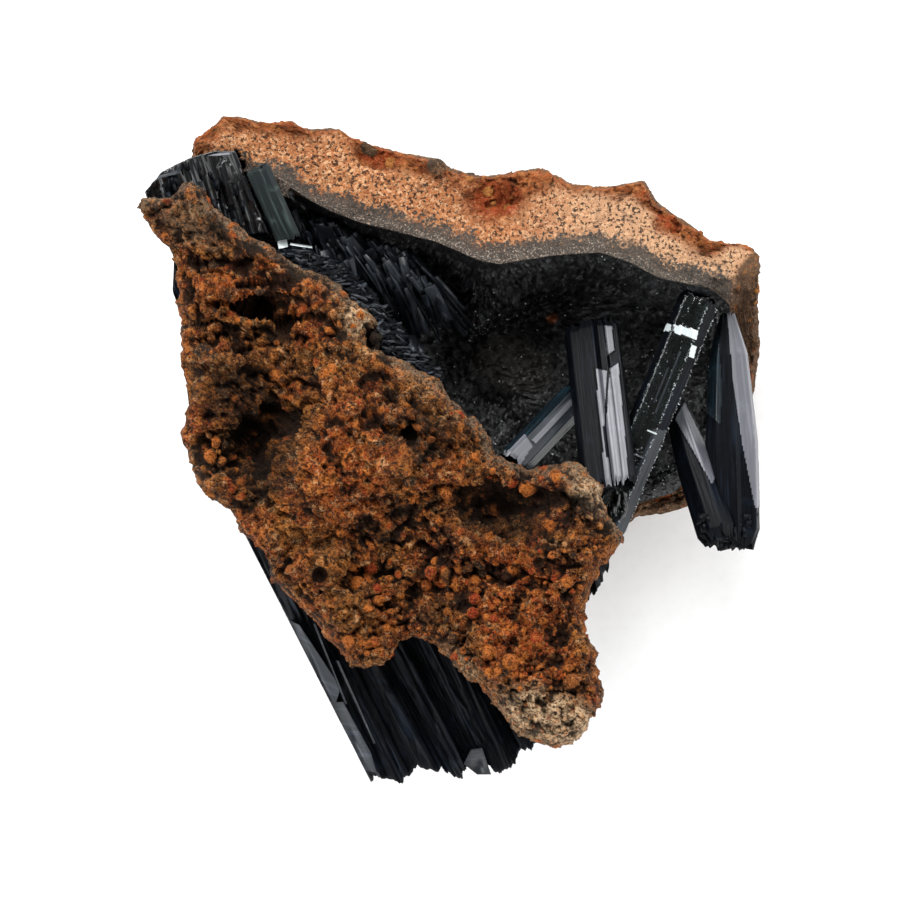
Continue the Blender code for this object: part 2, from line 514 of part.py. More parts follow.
for existing in list(bpy.data.objects):
    bpy.data.objects.remove(existing, do_unlink=True)
weathered = finish("weathered_ironstone", (0.30, 0.13, 0.05), 0.95)
broken = finish("broken_ironstone", (0.50, 0.27, 0.11), 0.9)
drusy = finish("drusy_vivianite", (0.012, 0.014, 0.015), 0.35)
dark_vivianite = finish("dark_vivianite", (0.010, 0.013, 0.015), 0.25)
pale_vivianite = finish("cleaved_vivianite", (0.05, 0.07, 0.08), 0.2)
clear_vivianite = finish("clear_vivianite", (0.04, 0.09, 0.08), 0.1, 0.9)
make_matrix_front(weathered)
socket = make_block_socket(broken)
combine(make_matrix_back(broken), socket, "DIFFERENCE")
combine(make_druse(drusy), socket, "DIFFERENCE")
make_crystals(dark_vivianite, pale_vivianite, clear_vivianite)
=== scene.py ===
"""Looks of a vivianite specimen: dark crystals in a broken shell of oolitic ironstone.

Shapes are worked out in millimetres, as the solids are, and put in the frame's metres when a
mesh is made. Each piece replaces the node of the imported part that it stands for.
"""

import bpy
import numpy as np
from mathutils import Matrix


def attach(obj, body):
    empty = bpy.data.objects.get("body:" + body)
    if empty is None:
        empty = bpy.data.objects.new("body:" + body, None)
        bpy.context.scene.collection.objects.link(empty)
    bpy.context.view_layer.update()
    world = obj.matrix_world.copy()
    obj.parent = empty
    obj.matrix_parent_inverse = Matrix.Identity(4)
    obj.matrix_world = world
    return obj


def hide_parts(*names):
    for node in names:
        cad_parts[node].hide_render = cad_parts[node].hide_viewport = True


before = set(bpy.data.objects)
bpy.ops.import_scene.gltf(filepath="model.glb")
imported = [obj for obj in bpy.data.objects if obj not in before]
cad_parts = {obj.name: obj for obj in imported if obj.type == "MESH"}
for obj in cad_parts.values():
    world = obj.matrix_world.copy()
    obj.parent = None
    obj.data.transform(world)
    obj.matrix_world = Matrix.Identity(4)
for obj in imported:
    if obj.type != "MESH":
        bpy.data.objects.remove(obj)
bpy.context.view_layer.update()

MM = 0.001                      # metres in a millimetre
FAR = 1e9                       # further than any distance
SHIFT = np.array((-0.75, 0.1, 0.0))     # moves the drawn outlines so that the origin is at the middle

# Camera straight above: its height, focal length and sensor width.
CAMERA_HEIGHT = 830.0
CAMERA_LENS = 200.0
CAMERA_SENSOR = 36.0
# Area lights: bearing from +X and elevation in degrees, distance and size in metres, and power in watts.
KEY_LIGHT = (106, 46, 0.75, (0.5, 0.38), 5.6)
LEFT_LIGHT = (200, 32, 0.8, (0.5, 0.4), 1.0)
LIGHT_AIM = 30.0                # height that they point at
FLOOR_REACH = 3.0               # half width of the studio floor, in metres

# Driving dimensions of the solids, in millimetres.
GAP = 0.35                      # clearance between pieces that touch
SIDE_Z = 42.8                   # height of the front slab's widest line
FRONT_TOP = 49.5                # mean height of its weathered face
FRONT_UNDER = 40.6              # height of its underside
FRONT_EDGE = 3.0                # width over which it rounds off to its edge
FRONT_LEAN = (0.05, -0.03)      # rise of its face for each millimetre along X and Y
FRONT_MIDDLE = (-12.0, -5.0)    # point that it leans about
FRONT_LIMIT = (56.5, 0.3)       # height above which its relief is flattened, and how much is left
RIM_HEIGHT = 40.0               # top of the back slab's broken face
FLOOR_HEIGHT = 12.0             # floor of the hollow
CRUST = 1.5                     # thickness of the crystal crust
CRUST_LIFT = 2.4 * GAP          # its underside above the hollow's surface
# Rings of the back slab's surface: foot and belly of the wall, edge of the hollow, outer edge.
FOOT, BELLY, EDGE, OUTER = 7 / 16, 8 / 16, 9 / 16, 15 / 16
WALL_RUN = 5.0                  # how far a full wall leans in at its foot
WALL_BELLY = 1.3                # how far it bulges out below its edge
EDGE_DROP = 9.0                 # height of its edge over its belly
SIDE_DROP = 8.0                 # how far the outer side falls to its widest line
BLOCK_SEAT = 32.0               # height that the stone is cut down to under the corner block
CRUST_SEAT = 30.0               # and that of the crust there
GREY_RIM = 1.9                  # width of the grey skin along the front slab's diagonal edge
FRONT_CELLS = 26                # cells of the coarse grid that the fine one is drawn from

# Cells along a side of the fine grids, and how many of each small thing.
SLAB_CELLS = 280
CRUST_CELLS = 262
SPLINTERS = 240
SPARKS = 2200
CHIPS = 30
FRINGE_LATHS = 620
TORN_LATHS = 16
STUBS = 90

# Unevenness of the stone and the crust: size of its waves or lumps, their height and the seed.
FRONT_COARSE = (9.0, 1.5, 11)
FRONT_FINE = (4.5, 0.9, 12)
BACK_COARSE = (7.0, 0.9, 21)
UNDER_HOLLOWS = (13.0, 2.2, 31)
UNDER_BULGES = (7.0, 1.3, 32)
BROAD_LUMPS = (5.2, 0.7, 61)
SMALL_LUMPS = (2.6, 0.5, 62)
STONE_WAVES = (1.2, 0.3, 63)
LEDGE_WAVES = (2.2, 1.3, 69)
BROKEN_WAVES = (1.7, 0.3, 72)
CRUST_WAVES = (5.0, 0.7, 75)
CRUST_RIPPLES = (2.4, 0.4, 76)
RAW_EDGE_WAVES = (4.5, 2.0, 77)
GREY_EDGE_WAVES = (1.6, 0.8, 78)
# Facets: their size, the seed and the slope.
BROAD_FACETS = (1.8, 64, 1.1)
SMALL_FACETS = (0.8, 60, 1.5)
LEDGE_FACETS = (2.5, 68, 2.0)
CRUST_FACETS = (0.95, 73, 1.9)
SMALL_CRUST_FACETS = (0.5, 74, 1.7)
# Grains and their empty sockets: side of the cubes, seed, share that hold one, least and most radius.
OOIDS = (2.5, 65, 0.3, (0.5, 1.0))
SMALL_OOIDS = (1.15, 66, 0.7, (0.28, 0.52))
SOCKETS = (3.1, 67, 0.07, (0.5, 0.9))
PACKED_OOIDS = (0.62, 71, 0.85, (0.2, 0.36))
FLAT_SHARE = 0.9                # waves of the underside lower than this stay flat

# The front slab's outline from above, as its four sides.
FRONT_DIAGONAL = (
    (-49.0, 38.5), (-48.4, 39.6), (-44.0, 39.8), (-42.0, 42.1), (-40.9, 42.4), (-38.5, 40.9),
    (-37.7, 38.5), (-34.9, 35.8), (-32.2, 33.6), (-28.6, 32.2), (-23.6, 28.3), (-19.7, 27.5),
    (-15.7, 24.1), (-12.9, 22.3), (-11.5, 19.2), (-12.7, 17.3), (-11.3, 15.9), (-7.9, 14.1),
    (-3.1, 11.3), (-1.6, 9.4), (1.9, 6.6), (5.8, 2.7), (6.9, -0.8), (12.6, -3.3), (14.9, -2.7),
    (18.1, -2.0), (20.1, -2.7), (23.6, -5.3), (23.7, -7.9), (25.5, -11.0), (27.4, -13.7))
FRONT_RIGHT = (
    (27.4, -13.7), (26.7, -14.9), (23.6, -18.4), (22.0, -22.0), (20.4, -25.5), (21.7, -29.1),
    (23.4, -32.2), (22.6, -33.8), (24.4, -37.7), (23.9, -39.6), (20.4, -45.3), (16.0, -46.7))
FRONT_BOTTOM = (
    (16.0, -46.7), (10.7, -44.8), (7.9, -40.4), (5.2, -37.1), (2.4, -35.8), (-1.1, -31.8),
    (-3.5, -29.9), (-5.5, -29.4), (-7.9, -29.9), (-9.1, -32.2), (-10.2, -33.3), (-13.2, -34.3),
    (-15.4, -34.0))
FRONT_LEFT = (
    (-15.4, -34.0), (-17.0, -31.8), (-22.3, -25.9), (-27.5, -20.9), (-28.6, -19.7), (-29.1, -16.0),
    (-33.0, -13.0), (-34.9, -9.1), (-37.4, -7.9), (-39.6, -5.5), (-42.3, 2.5), (-41.7, 3.9),
    (-40.9, 8.3), (-41.5, 11.8), (-42.6, 19.3), (-42.3, 22.8), (-43.1, 30.5), (-46.4, 33.8),
    (-49.0, 38.5))
FRONT_OUTLINE = FRONT_DIAGONAL[:-1] + FRONT_RIGHT[:-1] + FRONT_BOTTOM[:-1] + FRONT_LEFT[:-1]

# Lumps (+) and pits (-) of the weathered face: x, y, half length, half width, turn, height.
FRONT_RELIEF = (
    (-13.0, -2.0, 13.0, 10.5, 20, 5.6), (-17.5, 8.5, 4.0, 9.5, -20, 2.6),
    (-22.0, -6.5, 3.2, 6.0, -10, 2.2), (-29.5, 1.5, 3.8, 6.8, -25, -5.4),
    (8.0, -10.0, 8.5, 4.0, -5, -4.2), (-7.5, 2.2, 2.6, 2.2, 0, -3.0),
    (-13.0, -19.5, 6.0, 2.4, 15, -2.6), (-31.0, 25.0, 9.0, 1.8, -8, 1.4),
    (-27.0, 21.5, 7.5, 1.5, -12, -2.0), (-36.0, 12.0, 5.0, 4.0, 0, 1.6),
    (12.0, -35.0, 9.0, 6.0, -35, 2.0), (-1.0, -21.0, 9.0, 2.2, 18, -2.2),
    (18.0, -14.0, 5.0, 5.0, 0, 1.4), (-18.0, -24.0, 7.0, 4.0, -40, 1.2))

# The back slab's outline and that of the hollow's edge, and the height of that edge at bearings
# from the hollow's middle, in degrees.
BACK_OUTLINE = (
    (-41.6, 46.8), (-41.1, 49.2), (-38.1, 51.8), (-36.4, 53.5), (-31.8, 52.6), (-25.4, 52.4),
    (-23.3, 51.0), (-17.9, 51.5), (-15.1, 49.5), (-7.9, 47.6), (-2.1, 46.5), (0.2, 44.8),
    (4.8, 43.8), (14.3, 44.9), (20.3, 42.2), (25.7, 41.9), (31.0, 43.0), (33.0, 39.6),
    (37.6, 36.5), (42.0, 33.2), (46.8, 32.9), (49.5, 31.3), (49.8, 24.2), (50.5, 16.9),
    (49.9, 12.3), (49.4, 8.2), (47.8, 1.6), (44.5, -4.9), (39.4, -9.2), (35.2, -10.1),
    (30.4, -11.0), (22.9, -18.0), (11.5, -24.5), (-1.6, -26.2), (-14.7, -22.9), (-26.2, -14.7),
    (-35.2, -3.3), (-39.6, 9.8), (-41.4, 22.9), (-42.2, 36.0))
RIM_OUTLINE = (
    (-33.8, 43.3), (-26.7, 42.2), (-24.5, 39.5), (-19.8, 38.2), (-14.2, 36.0), (-7.9, 34.4),
    (-2.1, 32.9), (4.7, 29.9), (7.9, 29.4), (16.6, 30.8), (23.7, 31.3), (28.4, 29.7),
    (33.2, 27.2), (41.6, 25.6), (44.6, 23.6), (46.2, 19.0), (46.6, 11.5), (45.0, 3.3),
    (41.2, -3.6), (36.5, -7.2), (30.4, -9.0), (21.9, -15.4), (11.0, -21.4), (-1.6, -23.1),
    (-13.6, -19.8), (-24.2, -11.9), (-32.4, -1.4), (-36.6, 11.0), (-38.4, 23.4), (-38.2, 36.0))
HOLLOW_CENTRE = (3.2, 17.0)     # middle that the rings and bearings are counted from
RIM_BEARINGS = (-180, -140, -90, -50, -30, -8, 2, 14, 90, 143, 155, 180)
RIM_HEIGHTS = (16.5, 16.5, 16, 14, 13.5, 15, 20, 38.5, 40, 38, 17, 16.5)
# Lumps and pits of the broken face, as those of the weathered face.
BROKEN_RELIEF = (
    (7.2, 39.0, 4.4, 3.0, 0, -2.6), (-11.5, 46.2, 3.4, 1.8, -10, -1.6), (-2.0, 45.2, 1.4, 1.4, 0, 1.2),
    (34.4, 35.6, 2.2, 1.6, -30, -1.4), (30.0, 41.0, 3.0, 1.8, 0, 1.0), (-35.0, 49.0, 4.0, 3.0, 0, 0.8))
# Patches of the weathered face, as its lumps are written: calm relief, thin ledges, and colours.
CALM_PATCHES = ((8.0, -10.0, 7.5, 4.0, -5, 0.3), (12.0, -44.0, 9.0, 4.0, -20, 0.3))
LEDGE_PATCHES = ((-30.0, 24.0, 14.0, 9.0, -10, 1.0), (-34.0, 6.0, 9.0, 12.0, 0, 0.8))
PALE_PATCHES = (
    (-40.6, 35.6, 9.5, 5.0, -25, 0.7), (-14.5, 20.6, 3.6, 4.0, -40, 1.15), (15.6, -41.7, 9.5, 5.0, -20, 1.5),
    (1.5, -33.0, 6.0, 2.2, -38, 0.9), (22.0, -7.0, 5.5, 3.6, -45, 1.1), (-6.0, 10.5, 7.0, 1.5, -35, 0.5))
GREY_PATCHES = ((16.5, -3.0, 10.0, 1.8, -8, 0.8),)
RUST_PATCHES = (
    (4.7, -19.5, 14.0, 5.0, 0, 1.0), (-16.0, -4.0, 8.0, 12.0, 10, 0.9), (10.0, -30.0, 10.0, 8.0, -40, 0.6),
    (-26.0, 24.5, 9.0, 5.0, -15, 0.8), (-3.0, 0.0, 7.0, 4.0, -25, 0.8), (14.0, -32.0, 8.0, 5.0, -40, 0.9),
    (-36.0, 24.0, 5.0, 5.0, 0, 0.6))
# Dark brown patches: partly a stain of the stone, partly painted shade over its pits and recesses.
UMBER_AND_SHADE_PATCHES = (
    (-31.0, 7.0, 9.0, 12.0, 0, 0.7), (8.0, -11.0, 9.0, 4.5, 0, 1.0), (-4.0, 2.0, 7.0, 6.0, 0, 1.05),
    (-36.0, 10.0, 6.0, 6.0, 0, 0.3), (-40.6, 35.6, 9.0, 4.5, -25, 0.8), (-8.5, -8.5, 4.0, 2.0, -30, 0.8),
    (-2.0, -25.0, 6.0, 1.8, 25, 0.9), (-27.0, -3.0, 4.0, 6.0, -20, 0.6), (-33.0, -6.0, 6.0, 5.0, 0, 0.4))
# Patches of the back slab and of the crust: rusty pits, weathered side, rust on it, stain and dust.
PIT_PATCHES = (
    (7.2, 39.5, 5.0, 3.6, 0, 1.2), (-11.5, 46.6, 3.6, 1.8, -10, 1.1), (34.4, 35.9, 2.6, 1.8, -30, 1.0))
SIDE_PATCHES = ((34.0, -9.5, 7.0, 3.0, 15, 1.0),)
RUSTY_PATCHES = ((47.5, 12.6, 1.6, 2.4, 0, 1.0), (34.8, -7.8, 1.4, 0.9, 0, 1.0))
STAIN_PATCHES = (
    (16.7, 21.4, 1.3, 1.2, 0, 1.0), (-6.5, 26.7, 1.6, 1.3, 0, 0.8), (29.0, -5.0, 3.0, 2.0, 0, 0.7),
    (13.5, 19.0, 0.9, 0.8, 0, 0.5))
DUST_PATCHES = ((10.0, 14.0, 14.0, 9.0, -20, 1.0), (22.0, 26.0, 10.0, 4.0, 0, 0.7))
# A swelling of the crust, and the line at the left where the splinters on the wall start.
CRUST_SWELLS = ((39.6, 25.2, 3.6, 1.4, -20, 0.5),)
SPLINTER_LINE = ((-25.0, 38.4), (-19.0, 36.6), (-13.0, 34.0), (-6.0, 31.6))

# Blade fans: the line that the blades start from and the line that they reach.
LOWER_TOPS = (
    (-40.9, 2.9), (-41.7, 11.1), (-41.8, 19.0), (-43.9, 25.3), (-43.6, 30.4), (-37.2, 31.3),
    (-30.9, 27.8), (-23.8, 22.4), (-18.6, 16.7), (-15.5, 11.9), (-8.7, 7.3), (-1.6, 1.0),
    (3.4, -2.6), (9.4, -4.2), (16.0, -4.6), (20.8, -6.0), (20.9, -12.3), (25.4, -14.4))
LOWER_TIPS = (
    (-12.5, -53.3), (-9.9, -53.4), (-6.4, -52.5), (-1.6, -51.4), (0.8, -52.6), (3.8, -52.5),
    (6.4, -51.8), (9.3, -51.2), (12.2, -49.1), (14.4, -48.3), (17.6, -45.3), (21.1, -42.9),
    (21.7, -38.4), (21.0, -32.0), (19.4, -27.2), (21.6, -24.5), (24.0, -22.4), (26.2, -17.6))
BLOCK_TOPS = ((-48.4, 40.6), (-45.6, 44.0), (-41.2, 46.2), (-37.3, 47.3), (-33.8, 47.2))
BLOCK_TIPS = ((-46.8, 35.4), (-41.2, 33.6), (-37.0, 34.4), (-33.6, 33.4), (-28.6, 34.4))
FRINGE_TOPS = ((-29.0, 30.3), (-26.1, 27.9), (-21.8, 25.3), (-17.4, 22.1), (-14.6, 18.2),
               (-11.4, 13.9), (-7.1, 11.1), (-4.0, 8.7))
FRINGE_TIPS = ((-25.1, 33.7), (-21.9, 31.8), (-16.7, 29.9), (-13.4, 26.4), (-9.2, 21.9),
               (-5.7, 17.5), (-4.1, 15.6), (-1.6, 12.4))
BLADE_TOP = 40.1                # height of the highest blade where it starts
BLADE_STEP = 2.4                # how far below it the others may start
# Height of a fan's underside at its two ends, how far its top falls, and its seed.
LOWER_LAYER = ((17.8, 25.0), 4.0, 51)
BLOCK_LAYER = ((20.9, 20.9), 0.5, 52)
FRINGE_LAYER = ((33.0, 30.0), 3.5, 53)

# Prisms: both ends of the axis, and the section's scale at shares of the way along it.
SHORT_ENDS = ((10.1, -2.3, 34.4), (20.3, 8.3, 26.5))
PAIR_ENDS = ((22.6, 20.2, 27.5), (25.3, -5.8, 38.2))
LONG_ENDS = ((39.9, 24.6, 33.0), (24.6, -13.0, 30.4))
CROSS_ENDS = ((35.9, 8.8, 24.5), (42.8, -14.0, 33.0))
RIGHT_ENDS = ((44.4, 21.6, 29.6), (45.7, -15.3, 29.6))
CLEAVED_ENDS = ((-30.6, 44.5, 40.6), (-25.7, 33.4, 38.1))
BROKEN_ENDS = ((0, 0.86), (0.04, 1), (0.97, 1), (1, 0.9))
RIGHT_TAPER = ((0, 0.3), (0.17, 0.75), (0.55, 1.05), (0.93, 1), (1, 0.72))
CROSS_TAPER = ((0, 0.45), (0.15, 0.75), (0.5, 1), (0.94, 1.05), (1, 0.8))

# Thin flakes on the crystals: corners, thickness and finish; their pale finishes paint reflected light.
LOWER_FLAKES = (
    (((-25.3, -27.0, 38.8), (-23.8, -27.7, 39.6), (-17.3, -37.6, 39.4), (-18.1, -40.1, 38.6),
      (-19.0, -39.7, 38.2)), 2.5, 1),
    (((-18.9, -39.9, 37.6), (-16.9, -39.9, 38.6), (-12.6, -47.9, 37.6), (-11.6, -51.2, 37.0),
      (-13.4, -50.9, 36.2)), 2.5, 1),
    (((3.3, -47.5, 38.2), (5.1, -47.2, 38.0), (6.5, -51.5, 36.4), (4.3, -51.5, 36.6), (2.2, -49.8, 37.2)),
     2.0, 1),
    (((-21.6, -27.5, 39.9), (-21.3, -27.5, 39.9), (-16.3, -40.1, 39.4), (-16.6, -40.3, 39.4)), 1.0, 1),
    (((-18.0, -33.3, 39.9), (-17.6, -33.3, 39.9), (-11.8, -46.4, 38.9), (-12.1, -46.5, 38.9)), 1.0, 1))
BLOCK_FLAKES = (
    (((-47.4, 42.0, 39.3), (-45.4, 43.9, 39.6), (-42.5, 45.0, 39.7), (-42.7, 43.7, 40.1),
      (-46.0, 42.9, 40.0)), 1.0, 1),
    (((-38.4, 46.5, 39.7), (-36.5, 47.0, 39.8), (-34.1, 47.2, 39.7), (-33.9, 46.8, 40.0),
      (-36.7, 46.5, 40.1)), 1.0, 2))
FRINGE_FLAKES = (
    (((-27.3, 33.0, 39.6), (-25.8, 33.3, 39.9), (-25.6, 32.1, 39.5), (-27.1, 31.8, 39.2)), 0.8, 2),
    (((-25.2, 32.75, 39.7), (-21.8, 32.25, 39.7), (-21.8, 31.9, 39.6), (-25.3, 32.4, 39.6)), 0.5, 2),
    (((-25.0, 31.9, 39.7), (-22.0, 31.7, 39.7), (-22.1, 31.4, 39.6), (-25.1, 31.6, 39.6)), 0.5, 1),
    (((-6.4, 18.2, 38.4), (-5.4, 18.2, 38.7), (-5.1, 15.8, 38.0), (-6.3, 15.5, 37.7)), 1.2, 1),
    (((-5.1, 17.4, 38.3), (-4.1, 16.6, 38.5), (-4.0, 15.5, 38.1), (-4.9, 15.5, 37.9)), 1.2, 1))
WALL_FLAKES = (
    (((-21.4, 36.0, 36.4), (-18.7, 35.2, 36.6), (-17.0, 29.9, 31.0), (-19.6, 29.2, 30.6)), 1.5, 2),)

# Cross-sections of the prisms, across and up, from the left corner over the top.
SHORT_SECTION = ((-2.7, -0.4), (-1.5, 1.3), (1.4, 1.5), (2.8, 0.2), (1.8, -1.6), (-1.6, -1.8))
PAIR_SECTION = ((-4.4, -1.2), (-3.6, 0.3), (0.2, 1.7), (0.6, 1.2), (0.9, 1.9), (1.9, 1.9), (2.1, 1.4),
                (2.3, 1.8), (4.1, 1.7), (4.4, 0.2), (3.0, -2.0), (0.6, -1.7), (-2.6, -2.6))
LONG_SECTION = ((-3.2, -0.2), (-2.2, 1.5), (1.6, 2.0), (3.2, 0.7), (2.6, -1.5), (0.4, -2.2), (-2.4, -1.7))
CROSS_SECTION = ((-3.0, -1.6), (-0.9, 1.5), (1.1, 1.9), (2.9, -0.2), (1.8, -2.1), (-1.8, -2.4))
RIGHT_SECTION = ((-4.0, -1.5), (-2.6, 1.2), (0.4, 2.1), (1.1, 1.7), (3.4, 1.6), (4.0, -0.4),
                 (1.8, -2.5), (-2.2, -2.6))
CLEAVED_SECTION = ((-1.8, -0.9), (-1.7, 0.7), (1.3, 1.1), (2.1, 0.6), (2.0, -1.0))

# Growth layers on the prisms: outline from above, how far it stands out, and finish; the pale finishes paint
# reflected light.
SHORT_LAYERS = (
    (((12.9, 1.7), (13.6, 0.8), (19.9, 7.3), (19.3, 8.3)), 0.15, 2),
    (((8.0, -1.2), (11.9, 2.6), (13.2, 0.6), (10.6, -3.4)), 0.05, 2))
PAIR_LAYERS = (
    (((17.0, 22.0), (22.9, 22.0), (23.1, 12.9), (24.6, -4.0), (24.6, -8.0), (19.0, -8.0)), 0.0, 1),
    (((23.1, 13.0), (25.1, 12.7), (24.8, 9.2), (24.5, 3.7), (25.6, -6.6), (24.6, -6.6)), 0.12, 2),
    (((25.5, 13.0), (26.9, 14.0), (27.8, 2.4), (28.4, -6.6), (25.9, -6.6), (24.9, 4.1), (25.1, 9.2)),
     0.16, 2),
    (((24.7, 20.0), (26.0, 19.8), (26.3, 15.8), (25.0, 15.0)), 0.16, 2))
LONG_LAYERS = (
    (((34.0, 20.4), (35.3, 20.1), (35.2, 18.8), (34.0, 18.9)), 0.12, 1),
    (((35.6, 20.1), (39.5, 19.1), (39.2, 17.5), (35.6, 18.6)), 0.12, 1),
    (((38.3, 16.9), (39.3, 16.6), (38.8, 14.4), (37.9, 14.8)), 0.08, 1),
    (((36.4, 15.8), (37.0, 15.6), (34.4, 9.0), (32.9, 5.6), (32.5, 6.0), (33.9, 9.4)), 0.05, 4),
    (((35.4, 15.0), (35.7, 14.9), (32.6, 7.4), (32.3, 7.6)), 0.05, 4),
    (((32.3, 3.4), (34.6, 3.2), (29.6, -10.4), (27.4, -14.5), (24.9, -14.5), (28.2, -6.0)), 0.03, 4),
    (((31.1, 3.4), (33.0, 2.7), (32.9, 2.3), (31.0, 3.0)), 0.08, 1),
    (((29.3, -0.4), (31.5, -1.3), (31.4, -1.6), (29.2, -0.8)), 0.08, 2))
RIGHT_LAYERS = (
    (((44.2, 23.2), (46.0, 22.6), (48.6, 13.0), (50.4, 0.0), (50.4, -9.0), (48.7, -9.4), (46.6, 1.0),
      (45.0, 12.0)), 0.08, 2),
    (((39.0, 20.0), (42.8, 20.0), (43.6, 10.0), (43.4, 4.0), (41.0, 6.0)), 0.04, 3))
CROSS_LAYERS = ((((36.1, 5.0), (37.7, 7.8), (42.9, -3.4), (41.8, -5.6)), 0.08, 2),)

# Ooids that stand out of the weathered face: x, y, radius, tint (0 brown, 0.5 orange, 1 red).
LARGE_OOIDS = (
    (11.9, -6.4, 1.25, 0.5), (16.6, -4.1, 1.0, 0.6), (9.5, -33.1, 1.4, 0.4), (-14.6, -20.8, 1.05, 0.5),
    (-17.1, -12.9, 0.8, 0.5), (-0.6, -6.6, 1.0, 0.4), (3.8, -1.3, 0.85, 0.7), (-5.3, 3.3, 0.85, 0.6),
    (-7.5, 3.6, 0.8, 0.6), (18.2, -20.5, 0.95, 0.4), (3.6, -25.4, 0.95, 1.0), (3.9, -23.2, 0.95, 1.0),
    (-3.1, -19.1, 1.0, 0.9), (-3.7, -21.2, 0.9, 0.8), (-12.4, -18.4, 1.2, 0.9), (6.2, -31.6, 1.1, 0.4),
    (18.8, -35.9, 1.2, 0.3), (13.4, -29.5, 1.0, 0.9), (-27.3, 11.7, 0.9, 0.6), (-19.3, 11.9, 1.0, 0.6),
    (-36.7, 1.1, 1.0, 0.5), (-37.6, -1.0, 1.1, 0.4), (-15.8, -29.8, 1.0, 0.4), (-11.7, -30.0, 0.9, 0.8),
    (-6.5, -4.4, 0.9, 0.0), (-38.6, 15.5, 1.3, 0.0), (-5.9, -4.5, 0.7, 0.1), (0.3, -29.3, 0.9, 0.2))
# Sockets and pits that lost theirs.
LARGE_SOCKETS = (
    (-20.3, -19.5, 1.3), (-33.2, 31.2, 0.9), (13.7, -17.5, 0.9), (17.9, -22.9, 1.0), (15.3, -24.6, 0.8),
    (-11.6, 17.4, 1.7), (-16.9, 17.8, 1.0), (-6.6, 2.0, 1.6), (-1.6, -17.5, 0.9), (-24.8, 3.5, 1.2))
# Patches where small ooids crowd: middle, spread along X and Y, and how many.
OOID_PATCHES = (
    (-6.3, 2.4, 4.5, 2.8, 34), (4.0, -2.4, 4.0, 2.0, 22), (3.0, -21.5, 3.6, 3.6, 34),
    (-12.6, -20.0, 3.0, 3.0, 20), (9.5, -32.0, 4.5, 3.0, 26), (16.5, -20.5, 3.0, 3.6, 22),
    (-19.0, 20.5, 3.0, 4.0, 16), (-32.0, -3.0, 3.5, 3.5, 22), (-30.0, 22.0, 6.0, 7.0, 26),
    (-8.0, -30.0, 5.0, 2.5, 16))
# Pisoliths in the pits of the broken face.
BROKEN_OOIDS = (
    (7.1, 37.6, 1.0, 0.9), (10.0, 37.8, 1.05, 1.0), (-12.6, 47.6, 1.1, 0.2), (-2.0, 45.1, 1.5, 0.0),
    (8.6, 36.2, 0.8, 0.8), (34.4, 35.6, 1.0, 0.9))

# Ledges of the weathered face: line of each edge, how deep it is undercut, and over what width.
LEDGES = (
    (((-33.5, 3.0), (-28.1, 8.7), (-24.2, 7.9)), 2.4, 5.0),
    (((0.5, -5.4), (7.1, -4.3), (16.5, -5.7), (21.2, -7.9)), 2.2, 5.5),
    (((-13.0, 6.0), (-8.6, 4.8), (-2.0, 2.0)), 1.8, 2.6),
    (((-43.5, 25.1), (-34.0, 23.5), (-25.0, 22.0)), 1.8, 2.4),
    (((-42.2, 13.0), (-32.0, 11.5), (-22.0, 11.0)), 1.6, 2.6),
    (((-43.0, 18.5), (-36.0, 18.0), (-30.0, 16.6)), 1.4, 2.0),
    (((-24.5, 26.0), (-21.0, 23.6), (-18.5, 19.8)), 1.6, 2.0),
    (((-22.0, -12.0), (-10.0, -14.0), (-0.7, -15.5)), 1.6, 2.6),
    (((-14.5, -24.0), (-11.0, -26.0), (-6.0, -28.0)), 1.8, 3.0),
    (((3.2, -17.9), (11.0, -19.0), (18.5, -21.0)), 1.5, 2.6))


# ---------------------------------------------------------------- shapes as numbers

def uneven(points, cell, height, seed):
    """Smooth waves up to `height`: random values at the corners of cubes of side `cell`, blended."""
    table = np.random.default_rng(seed).uniform(-1, 1, (32, 32, 32))
    scaled = points / cell
    corner = np.floor(scaled).astype(int)
    part = scaled - corner
    part = part * part * (3 - 2 * part)
    total = np.zeros(points.shape[:-1])
    for step in np.ndindex(2, 2, 2):
        index = (corner + step) % 32
        weight = np.where(step, part, 1 - part).prod(axis=-1)
        total += weight * table[index[..., 0], index[..., 1], index[..., 2]]
    return height * total


def level(x, y):
    """Points at height zero."""
    return np.stack([x, y, 0 * x], axis=-1)


def slanted(points, cell, height, seed):
    """Waves as `uneven` gives them, in cubes turned by a random rotation, so as not to follow the axes."""
    turn = np.linalg.qr(np.random.default_rng(seed).normal(size=(3, 3)))[0]
    return uneven(points @ turn, cell, height, seed)


def lumpy(points, cell, height, seed):
    """Rounded lumps with creases between them: half a wave, and half its size without its sign."""
    wave = slanted(points, cell, 1.0, seed)
    return height * (np.abs(2 * wave) - 0.5 + wave)


def neighbours(points, cell, seed, count):
    """For each of the 27 cubes round each point: the offset from its jittered centre, and random numbers."""
    chance = np.random.default_rng(seed)
    centre = chance.uniform(0.15, 0.85, (32, 32, 32, 3))
    numbers = chance.random((32, 32, 32, count))
    corner = np.floor(points / cell).astype(int)
    for step in np.ndindex(3, 3, 3):
        cube = corner + step - 1
        i, j, k = np.moveaxis(cube % 32, -1, 0)
        yield points - (cube + centre[i, j, k]) * cell, numbers[i, j, k]


def grains(points, cell, seed, share, sizes):
    """Balls scattered one to a cube, in a share of the cubes.

    Gives the height of the ball's surface over each point, sqrt(r^2 - d^2) with d the distance to
    its centre, and the ball's own random number.
    """
    room = np.zeros(points.shape[:-1])
    tint = np.zeros(points.shape[:-1])
    for away, number in neighbours(points, cell, seed, 3):
        radius = (sizes[0] + (sizes[1] - sizes[0]) * number[..., 0]) * (number[..., 1] < share)
        inside = radius ** 2 - (away ** 2).sum(-1)
        tint = np.where(inside > room, number[..., 2], tint)
        room = np.maximum(room, inside)
    return np.sqrt(room), tint


